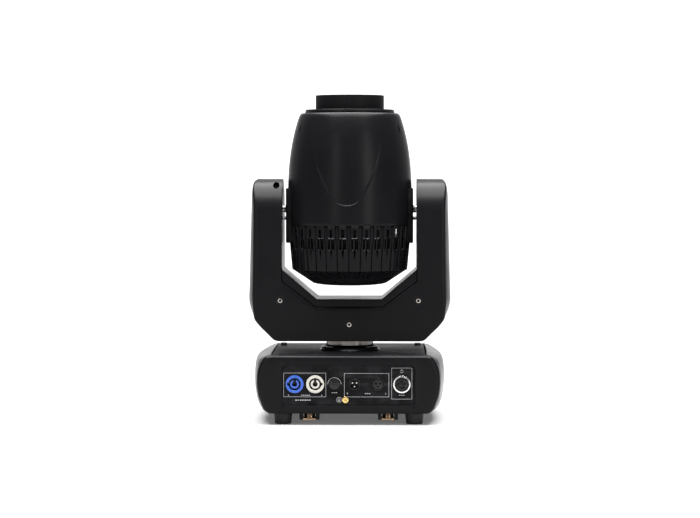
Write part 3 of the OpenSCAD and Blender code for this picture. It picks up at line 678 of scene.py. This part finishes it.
cells = [cage_cell(2 * math.pi * (i + 0.5) / PITCHES) for i in range(PITCHES)]
piece("cage_shell", *join(*cells), "cage_plastic", "head", ("vent_cage",), sharp=30, thick=2.2)
BAR_WIDE, BAR_SHIFT = 1.5, -0.9
bars = []
for i in range(PITCHES):
    a = 2 * math.pi * (i + 0.5) / PITCHES
    if abs(math.sin(a)) * 86 < PLATE_HALF + 3:
        continue
    c, s = math.cos(a), math.sin(a)
    rows = []
    for z in np.linspace(242, 261, 7):
        r = cage_radius(z) - 1.6
        ring = []
        for dr, dt in ((0, -BAR_WIDE / 2), (0, BAR_WIDE / 2), (-1.4, BAR_WIDE / 2), (-1.4, -BAR_WIDE / 2)):
            ring.append(((r + dr) * c - (dt + BAR_SHIFT) * s, (r + dr) * s + (dt + BAR_SHIFT) * c, z))
        rows.append(ring)
    bars.append(grid(rows, wrap=True))
piece("cage_bars", *join(*bars), "head_plastic", "head", ("vent_cage",), sharp=30)

# louvred bottom cap
refine("head_bottom_cap", "cap_plastic", 0.3, 2)
# the heat sink is coloured near black, partly as painted shade inside the head behind the vents
refine("heat_sink", "fin_black", 0.0, 1)
refine("fan_frame", None, 0.3, 2)


# ---------------------------------------------------------------- yoke
TILT_Z, ARM_R, EDGE_HALF, FACE_HALF = 293.6, 48.3, 144.5, 135.0
LEDGE = 3.0
LOCK_X, LOCK_HOLE_Z, LOCK_HOLE_R = 104.2, 333, 4.6
SCREW_SEAT_R = 3.5


def edge_at(z):
    """Half the width across the crowned arms above their lower corners."""
    top = TILT_Z + ARM_R
    if z < top - 25:
        return EDGE_HALF - 4 * (z - 172) / (top - 25 - 172)
    curve = bezier((EDGE_HALF - 4, top - 25), (EDGE_HALF - 5, top), (EDGE_HALF - 14, top), 24)
    return float(np.interp(z, [q[1] for q in curve], [q[0] for q in curve]))


def outline_pairs():
    """Matching points along the U's inner and outer edge, from mid crossbar to an arm's top."""
    outer_diag = [(67.6, 112), (98, 112)] + bezier((100, 112), (105.5, 112), (109.5, 116), 6)
    outer_diag += [(116, 122.5)] + bezier((122.7, 128.8), (EDGE_HALF + 0.4, 150), (EDGE_HALF, 174), 24)
    outer_diag += [(edge_at(192), 192)]
    o = np.array(outer_diag, float)
    run = np.concatenate([[0], np.cumsum(np.hypot(*np.diff(o, axis=0).T))])
    pairs = []
    for t in np.linspace(0, 1, 16)[:-1]:
        pairs.append(((46 * t, 172), (67.6 * t, 112)))
    pairs[-1] = ((44.6, 172.0), (65.5, 112))
    inner = [(46, 172), (95.5, 214)]
    for t in np.linspace(0, 1, 44):
        at = t * run[-1]
        p = (float(np.interp(at, run, o[:, 0])), float(np.interp(at, run, o[:, 1])))
        i = (inner[0][0] + (inner[1][0] - inner[0][0]) * t, inner[0][1] + (inner[1][1] - inner[0][1]) * t)
        if t == 0:
            i = (46.3, 172.5)
        if t == 1:
            i = (95.5, 215.2)
        pairs.append((i, p))
    for t in np.linspace(0, 1, 15)[1:]:
        z = 192 + (TILT_Z - 192) * t
        pairs.append(((95.5, 215.2 + (TILT_Z - 215.2) * t), (edge_at(z), z)))
    for a in np.linspace(0, 88, 34)[1:]:
        z = TILT_Z + ARM_R * math.sin(math.radians(a))
        pairs.append(((95.5, z), (edge_at(z), z)))
    pairs.append(((95.5, TILT_Z + ARM_R), (EDGE_HALF - 14, TILT_Z + ARM_R)))
    return pairs


def band_width(inner, outer):
    """Distance along a row from the inner edge to the lower edge of the stepped-back band."""
    i, o = np.array(inner, float), np.array(outer, float)
    u = (o - i) / np.linalg.norm(o - i)
    corners = [(0, 160), (48, 160), (96.5, 197), (96.5, 216)]
    best = 0.0
    for a, b in zip(corners, corners[1:]):
        a, b = np.array(a, float), np.array(b, float)
        d = b - a
        det = u[0] * -d[1] + u[1] * d[0]
        if abs(det) < 1e-9:
            continue
        r = a - i
        s = (r[0] * -d[1] + r[1] * d[0]) / det
        k = (u[0] * r[1] - u[1] * r[0]) / det
        if s > 0 and -0.02 <= k <= 1.02:
            best = max(best, s) if best == 0 else min(best, s)
    return best


def yoke_half(side):
    rows = []
    for inner, outer in outline_pairs():
        i, o = np.array(inner, float), np.array(outer, float)
        wide = float(np.linalg.norm(o - i))
        u = (o - i) / wide
        z = inner[1]
        deep = ARM_R if z <= TILT_Z else math.sqrt(max(0.0, ARM_R ** 2 - (z - TILT_Z) ** 2))
        flat = deep < 1.0
        crown = max(0.2, o[0] - FACE_HALF)
        soft_out, soft_in = 0.6 + 4.0 * step(o[1], 115, 150), 0.8
        band = band_width(inner, outer) if z < 214.2 else 0.0
        sink = LEDGE * step(band, 1.0, 2.6)
        seam = min(0.35, deep * 0.2)
        face = deep - sink
        r_in = min(soft_in, face * 0.4)
        r_out = min(soft_out, deep * 0.45)
        lean = lambda y: crown * (y / ARM_R) ** 2
        pts = [(0.8, 0.03), (0.0, seam + 0.03)]
        for t in (0.25, 0.5, 0.75, 1.0):
            pts.append((0.0, seam + (face - r_in - seam) * t))
        pts += bezier((0.0, face - r_in), (0.0, face), (r_in, face), 5)[1:]
        stop = max(band - 0.5, r_in + 0.15)
        lip = min(0.9, 0.25 * (stop - r_in))
        for t in (0.33, 0.66):
            pts.append((r_in + (stop - r_in) * t, face))
        pts.append((stop - lip, face))
        pts.append((stop, face - 0.4 * sink))
        pts.append((stop + 0.45, face + 0.08 * sink))
        pts.append((stop + 0.7, deep - 0.12 * sink))
        pts.append((stop + 1.3, deep))
        end = wide - lean(deep) - r_out
        begin = stop + 1.3
        for t in np.linspace(0, 1, 15)[1:]:
            pts.append((begin + (end - begin) * t, deep))
        y1 = deep - r_out
        pts += bezier((end, deep), (wide - lean(deep), deep), (wide - lean(y1), y1), 8)[1:]
        for t in np.linspace(0, 1, 9)[1:]:
            y = y1 + (seam + 0.03 - y1) * t
            pts.append((wide - lean(y), y))
        pts.append((wide - lean(0) - 0.8, 0.03))
        row = []
        for w, y in pts:
            x, h = i + u * w
            row.append((x, side * (0.03 if flat else y), h))
        rows.append(row)
    left = [[(-x, y, z) for x, y, z in row] for row in reversed(rows)]
    return left[:-1] + rows


for side, node in ((-1, "yoke_rear_cover"), (1, "yoke_front_cover")):
    points, faces = grid(yoke_half(side))
    cover = piece(node + "_shell", points, faces, "black_plastic", "yoke", (node,), sharp=34, thick=2.6)
    walled = cover.vertex_groups.new(name="walled")
    walled.add([v.index for v in cover.data.vertices if v.co.z < 340 * MM], 1, "REPLACE")
    cover.modifiers["wall"].vertex_group = "walled"
    for x, z in ((-98, 170), (98, 170), (0, 136)):
        loop = [(x + SCREW_SEAT_R * math.cos(a), side * ARM_R, z + SCREW_SEAT_R * math.sin(a))
                for a in np.linspace(0, 2 * math.pi, 33)[:-1]]
        cut_hole(cover.data, loop, (0, -side, 0), 1.3, 3.4, 0.02)
    if side < 0:
        loop = []
        for a in np.linspace(0, 2 * math.pi, 37)[:-1]:
            z = LOCK_HOLE_Z + LOCK_HOLE_R * math.sin(a)
            loop.append((-LOCK_X + LOCK_HOLE_R * math.cos(a), -math.sqrt(ARM_R ** 2 - (z - TILT_Z) ** 2), z))
        cut_hole(cover.data, loop, (0, 1, 0), 2, 3.6)
        # the lock hole's walls are painted near black: painted shade inside the hole
        cover.data.materials.append(MATERIALS["hole_shade"])
        for polygon in cover.data.polygons:
            aside = math.hypot(polygon.center.x + LOCK_X * MM, polygon.center.z - LOCK_HOLE_Z * MM)
            if aside < (LOCK_HOLE_R + 0.02) * MM:
                polygon.material_index = 1

ring = []
for k in range(241):
    a = 2 * math.pi * k / 240
    tooth = 0.45 * (k % 2)
    profile = [(24.1, 101.6), (30.5, 101.6), (32.6, 102.4), (33.5 - tooth, 103.2), (33.9 - tooth, 104.6),
               (34, 105.2), (34, 112.9), (33, 113), (33, 115.9), (24.1, 115.9), (24.1, 101.6)]
    ring.append([(r * math.cos(a), r * math.sin(a), z) for r, z in profile])
points, faces = grid(ring)
piece("neck_sleeve", points, faces, "chrome", "yoke", ("neck_ring",), sharp=24)
refine("yoke_screws", "screw_steel", 0.3, 2)
lean = math.radians(36)
pin_profile = [(0.01, 31), (2.15, 31), (2.4, 31.3), (2.4, 42.2), (3.9, 42.2), (4.2, 42.5), (4.2, 44.7),
               (3.9, 45), (0.01, 45)]
points, faces = turned(pin_profile, 48)
c, s = math.cos(lean), math.sin(lean)
points = [(x - LOCK_X, y * c - h * s, TILT_Z + y * s + h * c) for x, y, h in points]
# the lock pin inside its hole is painted near black as shade
piece("lock_pin", points, faces, "hole_shade", "tilt_lock", ("tilt_lock_pin",))


# ---------------------------------------------------------------- base
BASE_END, SEAM_Y, BASE_TOP, FOOT_H = 110.0, 98.0, 97.6, 16.0
WIDER = np.array([1.013, 1.0])
REAR_SIDE = [(104, 15.8), (108.6, 16.1), (115.3, 20.6), (120.2, 31.8), (123.6, 41), (125.6, 54), (125.5, 65),
             (124.3, 75), (121.3, 84.5), (117.8, 91.2), (113.6, 95.6), (107, 97.4)]
MID_SIDE = [(110, 15.9), (119.5, 16.1), (126, 20.3), (130.2, 29), (132.4, 40), (133.8, 54), (133.9, 65),
            (133.4, 75), (131.7, 85.5), (128.4, 91.6), (120, 96.0), (108.5, 97.4)]
REAR_LINE = np.array(smooth_through(REAR_SIDE, 6)) * WIDER
MID_LINE = np.array(smooth_through(MID_SIDE, 6)) * WIDER


def side_line(y, inset=0.0):
    """Half of the base's outline at a depth, from under the bottom edge up over the shoulder."""
    t = 1 - (min(abs(y), BASE_END) / BASE_END) ** 2
    line = REAR_LINE + (MID_LINE - REAR_LINE) * t
    if inset:
        d = np.gradient(line, axis=0)
        normal = np.stack([-d[:, 1], d[:, 0]], 1)
        line = line + normal / np.linalg.norm(normal, axis=1)[:, None] * inset
    return line


def outline_loop(y, inset=0.0, count_top=24):
    right = side_line(y, inset)
    x_top, x_low = right[-1][0], right[0][0]
    top = [(x, right[-1][1]) for x in np.linspace(x_top, -x_top, count_top + 2)[1:-1]]
    low = [(x, right[0][1]) for x in np.linspace(-x_low, x_low, count_top + 2)[1:-1]]
    loop = [tuple(p) for p in right] + top + [(-x, z) for x, z in reversed(right)] + low
    return [(x, y, z) for x, z in loop]


def rounded_rect(w, h, r, x, z, per=6):
    out = []
    for cx, cz, a0 in ((1, 1, 0), (-1, 1, 90), (-1, -1, 180), (1, -1, 270)):
        for k in range(per + 1):
            a = math.radians(a0 + 90 * k / per)
            out.append((x + cx * (w / 2 - r) + r * math.cos(a), z + cz * (h / 2 - r) + r * math.sin(a)))
    return out


def faced_shell(side, holes, depth):
    """A bezel: its rim, a rounded edge and a flat face whose holes have rounded edges and walls."""
    radius = 5.2
    rows = [outline_loop(side * (SEAM_Y + 0.1), 1.6), outline_loop(side * (SEAM_Y + 0.1), 0.5),
            outline_loop(side * (SEAM_Y + 0.6), 0.0)]
    for y in np.linspace(SEAM_Y + 2.5, BASE_END - radius, 4):
        rows.append(outline_loop(side * y, 0.0))
    for a in np.linspace(0, 90, 7)[1:]:
        t = math.radians(a)
        reach = BASE_END - radius + radius * math.sin(t)
        rows.append(outline_loop(side * reach, radius * (1 - math.cos(t))))
    points, faces = grid(rows, wrap=True)
    mesh = bpy.data.meshes.new("face")
    mesh.from_pydata([tuple(c * MM for c in p) for p in points], [], faces)
    made = bmesh.new()
    made.from_mesh(mesh)
    last = len(rows) - 1
    wide = len(rows[0])
    made.verts.ensure_lookup_table()
    outer = [made.verts[last * wide + j] for j in range(wide)]
    edges = [made.edges.get((outer[j], outer[(j + 1) % wide])) for j in range(wide)]
    for loop in holes:
        middle = np.mean(loop, axis=0)
        previous = None
        for grow, back in ((0.9, 0.0), (0.25, 0.25), (0, 0.9), (0, depth)):
            ring = []
            for x, z in loop:
                size = np.hypot(x - middle[0], z - middle[1])
                out = (size + grow) / size
                px, pz = middle[0] + (x - middle[0]) * out, middle[1] + (z - middle[1]) * out
                ring.append(made.verts.new((px * MM, side * (BASE_END - back) * MM, pz * MM)))
            if previous is None:
                edges += [made.edges.new((ring[k], ring[(k + 1) % len(ring)])) for k in range(len(ring))]
            else:
                for k in range(len(ring)):
                    m = (k + 1) % len(ring)
                    made.faces.new((previous[k], previous[m], ring[m], ring[k]))
            previous = ring
    bmesh.ops.triangle_fill(made, use_beauty=True, use_dissolve=False, edges=edges, normal=(0, side, 0))
    made.to_mesh(mesh)
    made.free()
    return mesh


RECESS = rounded_rect(186, 57, 6.5, 0, 55.7)
mesh = faced_shell(-1, [RECESS], 4.9)
finish_piece("rear_bezel_shell", mesh, "black_plastic", "base", ("rear_bezel",), 38)
window = rounded_rect(84, 38, 1.5, -18, 57, 3)
button_holes = [
    [(x + 5.7 * math.cos(a), z + 5.7 * math.sin(a)) for a in np.linspace(0, 2 * math.pi, 33)[:-1]]
    for x in (42, 62) for z in (47, 67)
]
mesh = faced_shell(1, [window, *button_holes], 4.9)
finish_piece("front_bezel_shell", mesh, "black_plastic", "base", ("front_bezel",), 38)

# side covers, with a leaf-shaped slit behind each end of the bezels
depths = [-SEAM_Y, -SEAM_Y + 0.4, -SEAM_Y + 1.2] + list(np.linspace(-94, 94, 33))
depths += [SEAM_Y - 1.2, SEAM_Y - 0.4, SEAM_Y]
rows = []
for k, y in enumerate(depths):
    inset = 0.9 if k in (0, len(depths) - 1) else 0.25 if k in (1, len(depths) - 2) else 0.0
    line = [p for p in side_line(y, inset)]
    shrink = 0.25 if k in (0, len(depths) - 1) else 0.0
    rows.append([(x - shrink, y, z) for x, z in line])
side_points, side_faces = grid(rows)
both = join((side_points, side_faces), ([(-x, y, z) for x, y, z in side_points], side_faces))
sides = piece("side_shells", *both, "side_plastic", "base", ("base_side_covers",), sharp=38, thick=2.6)
for end in (-1, 1):
    for y_end in (-1, 1):
        for low, high in ((82.5, 91.5), (30.5, 39.5)):
            y = y_end * (SEAM_Y - 6.0)
            line = side_line(y)
            zs = line[:, 1]
            loop = []
            for k in range(24):
                t = 2 * math.pi * k / 24
                z = (low + high) / 2 + (high - low) / 2 * math.sin(t)
                dy = 1.9 * math.cos(t) * abs(math.cos(t)) ** 0.5
                x = float(np.interp(z, zs, line[:, 0]))
                loop.append((end * x, y + dy, z))
            mid = (low + high) / 2
            slope = (np.interp(mid + 1, zs, line[:, 0]) - np.interp(mid - 1, zs, line[:, 0])) / 2
            cut_hole(sides.data, loop, (-end, 0, slope), 2.0, 2.4, 0.15)

# top plate with a rounded edge, the dished collar and two rubber bumpers
low_z = 94.6
plate = []
for grow, z in ((-1.2, low_z), (-0.1, low_z), (0.0, low_z + 0.6), (0.0, BASE_TOP - 0.9),
                (-0.3, BASE_TOP - 0.25), (-1.0, BASE_TOP)):
    loop = rounded_rect(2 * (107.3 + grow), 2 * (SEAM_Y - 0.35 + grow), 2.5, 0, 0, 4)
    plate.append([(x, y, z) for x, y in loop])
points, faces = grid(plate, wrap=True)
mesh = bpy.data.meshes.new("plate")
mesh.from_pydata([tuple(c * MM for c in p) for p in points], [], faces)
made = bmesh.new()
made.from_mesh(mesh)
made.verts.ensure_lookup_table()
wide = len(plate[0])
ring = [made.verts[(len(plate) - 1) * wide + j] for j in range(wide)]
edges = [made.edges.get((ring[j], ring[(j + 1) % wide])) for j in range(wide)]
hole = [made.verts.new((43 * math.cos(a) * MM, 43 * math.sin(a) * MM, BASE_TOP * MM))
        for a in np.linspace(0, 2 * math.pi, 129)[:-1]]
edges += [made.edges.new((hole[k], hole[(k + 1) % 128])) for k in range(128)]
bmesh.ops.triangle_fill(made, use_beauty=True, use_dissolve=False, edges=edges, normal=(0, 0, 1))
made.to_mesh(mesh)
made.free()
finish_piece("top_plate", mesh, "plate_plastic", "base", ("base_top_cover",), 38)
points, faces = closed_turn(
    [(25.5, 94.7), (25.5, 96.4), (27.4, 96.9), (33, 98.6), (38.0, 101.6), (38.9, 102.2), (39.9, 102.2),
     (41, 101.2), (42.4, 98.2), (43.4, 97.55), (43.4, 94.7)], 0.7, 160)
piece("collar", points, faces, "gloss_plastic", "base", ("base_top_cover",), sharp=40)
bumper_profile = [(0.01, 101.6), (3.2, 101.5), (4.2, 101.0), (4.6, 100.2), (4.9, 97.5)]
bumpers = [turned(bumper_profile, 32, (x, 66, 0)) for x in (-98, 98)]
piece("bumpers", *join(*bumpers), "gloss_plastic", "base", ("base_top_cover",), sharp=40)

refine("base_bottom_tray", "cap_plastic", 0.4, 2)
refine("bracket_receptacles", "zinc", 0.5, 2)
refine("rubber_feet", "rubber", 0.8, 3)
refine("connector_plate", "black_steel", 0.2, 1)
for node in ("power_in_socket", "power_out_socket", "fuse_holder", "fuse_cap", "data_out_socket"):
    refine(node, None, 0.3, 2, sharp=40)
refine("data_in_socket", "pin_socket", 0.3, 2, sharp=40)
refine("aux_socket", "ringed_socket", 0.3, 2, sharp=40)
refine("earth_terminal", None, 0.3, 2)
refine("display_window", "display", 0.3, 2)
for node in ("button_menu", "button_down", "button_up", "button_enter"):
    refine(node, None, 0.6, 3)


# printed frames and plain symbols on the connector plate
INK_OUT, INK_IN = -105.12, -104.98


def frame_print(x0, x1, z0, z1, line=0.4):
    parts = []
    for low, high in (((x0, z0), (x1, z0 + line)), ((x0, z1 - line), (x1, z1)),
                      ((x0, z0 + line), (x0 + line, z1 - line)), ((x1 - line, z0 + line), (x1, z1 - line))):
        parts.append(box((low[0], INK_OUT, low[1]), (high[0], INK_IN, high[1])))
    return parts


def stroke(x0, z0, x1, z1, w=0.5):
    d = np.array([x1 - x0, z1 - z0], float)
    n = np.array([-d[1], d[0]]) / np.linalg.norm(d) * w / 2
    flat = [(x0 + n[0], z0 + n[1]), (x0 - n[0], z0 - n[1]), (x1 - n[0], z1 - n[1]), (x1 + n[0], z1 + n[1])]
    points = [(x, INK_OUT, z) for x, z in flat] + [(x, INK_IN, z) for x, z in flat]
    faces = [(0, 1, 2, 3), (7, 6, 5, 4), (0, 4, 5, 1), (1, 5, 6, 2), (2, 6, 7, 3), (3, 7, 4, 0)]
    return points, faces


def arc_print(x, z, r, a0, a1, w=0.45, n=24):
    rows = []
    for k in range(n + 1):
        a = math.radians(a0 + (a1 - a0) * k / n)
        c, s = math.cos(a), math.sin(a)
        corners = ((r - w / 2, INK_OUT), (r + w / 2, INK_OUT), (r + w / 2, INK_IN), (r - w / 2, INK_IN))
        rows.append([(x + q * c, y, z + q * s) for q, y in corners])
    return grid(rows, wrap=True)


def arrow(x, z, up, size=2.0):
    """A small plain arrow; it points up for an inlet and down for an outlet."""
    s = size * up
    return [stroke(x, z - s * 0.8, x, z + s * 0.8), stroke(x - size * 0.55, z + s * 0.2, x, z + s * 0.85),
            stroke(x + size * 0.55, z + s * 0.2, x, z + s * 0.85)]


prints = frame_print(-90.5, -31.3, 39.2, 72.8) + frame_print(-5.9, 56.5, 39.2, 72.4)
prints += frame_print(60.0, 88.6, 36.2, 80.0)
prints += arrow(-83.6, 41.6, 1, 1.2) + arrow(-37.2, 41.6, -1, 1.2)
prints += arrow(-1.4, 44.0, 1, 1.4) + arrow(52.0, 44.0, -1, 1.4)
for k in range(5):
    prints.append(stroke(-66 + 2.7 * k, 41.6, -64.2 + 2.7 * k, 41.6, 0.9))
for k in range(7):
    prints.append(stroke(-74 + 3.2 * k, 34.8, -71.8 + 3.2 * k, 34.8, 1.3))
for k in range(3):
    prints.append(stroke(23 + 2.8 * k, 44.0, 24.9 + 2.8 * k, 44.0, 1.0))
    prints.append(stroke(70.4 + 2.8 * k, 41.8, 72.3 + 2.8 * k, 41.8, 1.0))
for k in range(3):
    prints.append(stroke(-23.3 + 2.8 * k, 45.2, -21.4 + 2.8 * k, 45.2, 1.0))
prints.append(arc_print(-19.5, 57, 9.3, 0, 180))
prints += [arc_print(-13.0, 35.4, 3.4, 0, 360), stroke(-13, 38, -13, 35.2), stroke(-15, 35.2, -11, 35.2),
           stroke(-14.3, 34.2, -11.7, 34.2), stroke(-13.6, 33.3, -12.4, 33.3)]
prints += [arc_print(74.4, 75.6, 2.4, 200, 340), stroke(72.6, 76.4, 76.2, 76.4),
           stroke(74.4, 76.4, 74.4, 78.4)]
piece("plate_prints", *join(*prints), "print", "base", (), slot="white_plastic", sharp=30)

# CAD nodes that are shown as they are
for node, thing in frame["nodes"].items():
    if not thing.hide_render:
        thing.data.materials.clear()
        thing.data.materials.append(MATERIALS[slot_of[node]])
        weld = thing.modifiers.new("weld", "WELD")
        weld.merge_threshold = 0.00001
        edge = thing.modifiers.new("edge", "BEVEL")
        edge.width = 0.00004 if node == "yoke_frame" else 0.0003
        edge.segments = 2
        edge.limit_method = "ANGLE"
        edge.angle_limit = math.radians(40)

# ---------------------------------------------------------------- studio
def paper(name, colour, rough, near, far):
    """Matt paper with painted light: it glows by emission, little near the object and more towards the back
    wall, fading to the sides.
    """
    s = Shader(name)
    tone = s.mix(s.noise(3, 3), colour, [0.985 * c for c in colour])
    s.bump(s.noise(160, 3), 0.05, 0.0002)
    aside = s.span(s.maths("ABSOLUTE", s.axis(0)), 1.3, 2.5, 1.0, 0.3)
    # painted light: emission strength grows along Y from near to far and falls off to the sides
    glow = s.maths("MULTIPLY", s.span(s.axis(1), 0.9, 3.6, near, far), aside)
    return s.set(Base_Color=tone, Roughness=rough, Specular_IOR_Level=0.2, Emission_Color=colour,
                 Emission_Strength=glow)


sweep_rows = []
profile = [(-9500, 0), (-5200, 0), (-2500, 0), (0, 0), (1500, 0), (3400, 0)] + [
    (3400 + 900 * math.sin(math.radians(a)), 900 - 900 * math.cos(math.radians(a))) for a in range(6, 91, 6)
] + [(4300, 8000)]
for y, z in profile:
    sweep_rows.append([(x, y, z) for x in (-9500, -5200, -1500, 0, 1500, 5200, 9500)])
points, faces = grid(sweep_rows)
mesh = bpy.data.meshes.new("sweep")
mesh.from_pydata([tuple(c * MM for c in p) for p in points], [], faces)
for polygon in mesh.polygons:
    polygon.use_smooth = True
mesh.materials.append(paper("sweep_paper", (0.38, 0.38, 0.383), 0.75, 0.3, 2.9))
sweep = bpy.data.objects.new("sweep", mesh)
scene.collection.objects.link(sweep)
sweep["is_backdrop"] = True


def softbox(name, place, target, size, power, colour=(1, 1, 1)):
    data = bpy.data.lights.new(name, "AREA")
    data.shape = "RECTANGLE"
    data.size, data.size_y = size
    data.energy = power
    data.color = colour
    thing = bpy.data.objects.new(name, data)
    thing.location = place
    thing.rotation_mode = "QUATERNION"
    thing.rotation_quaternion = (Vector(target) - Vector(place)).to_track_quat("-Z", "Y")
    scene.collection.objects.link(thing)
    return thing


softbox("top_box", (0, -0.05, 1.9), (0, 0.0, 0.2), (2.2, 2.2), 235)
softbox("left_box", (-1.3, -2.7, 0.8), (0, 0, 0.3), (0.4, 1.5), 9)
softbox("right_box", (1.75, -2.45, 0.8), (0, 0, 0.3), (0.45, 1.5), 19)

world = bpy.data.worlds.new("studio")
world.use_nodes = True
world.node_tree.nodes["Background"].inputs["Color"].default_value = (0.9, 0.93, 1, 1)
world.node_tree.nodes["Background"].inputs["Strength"].default_value = 0.14
scene.world = world
scene.view_settings.view_transform = "Standard"
scene.view_settings.look = "None"

camera = bpy.data.cameras.new("camera")
camera.sensor_width = 36
camera.lens = 114.7
camera.clip_start, camera.clip_end = 0.05, 30
eye = bpy.data.objects.new("camera", camera)
eye.location = (0.06, -3.2, 0.369)
eye.rotation_euler = Euler((math.radians(90 - 2.54), 0, math.radians(1.07)), "XYZ")
scene.collection.objects.link(eye)
scene.camera = eye

low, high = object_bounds()
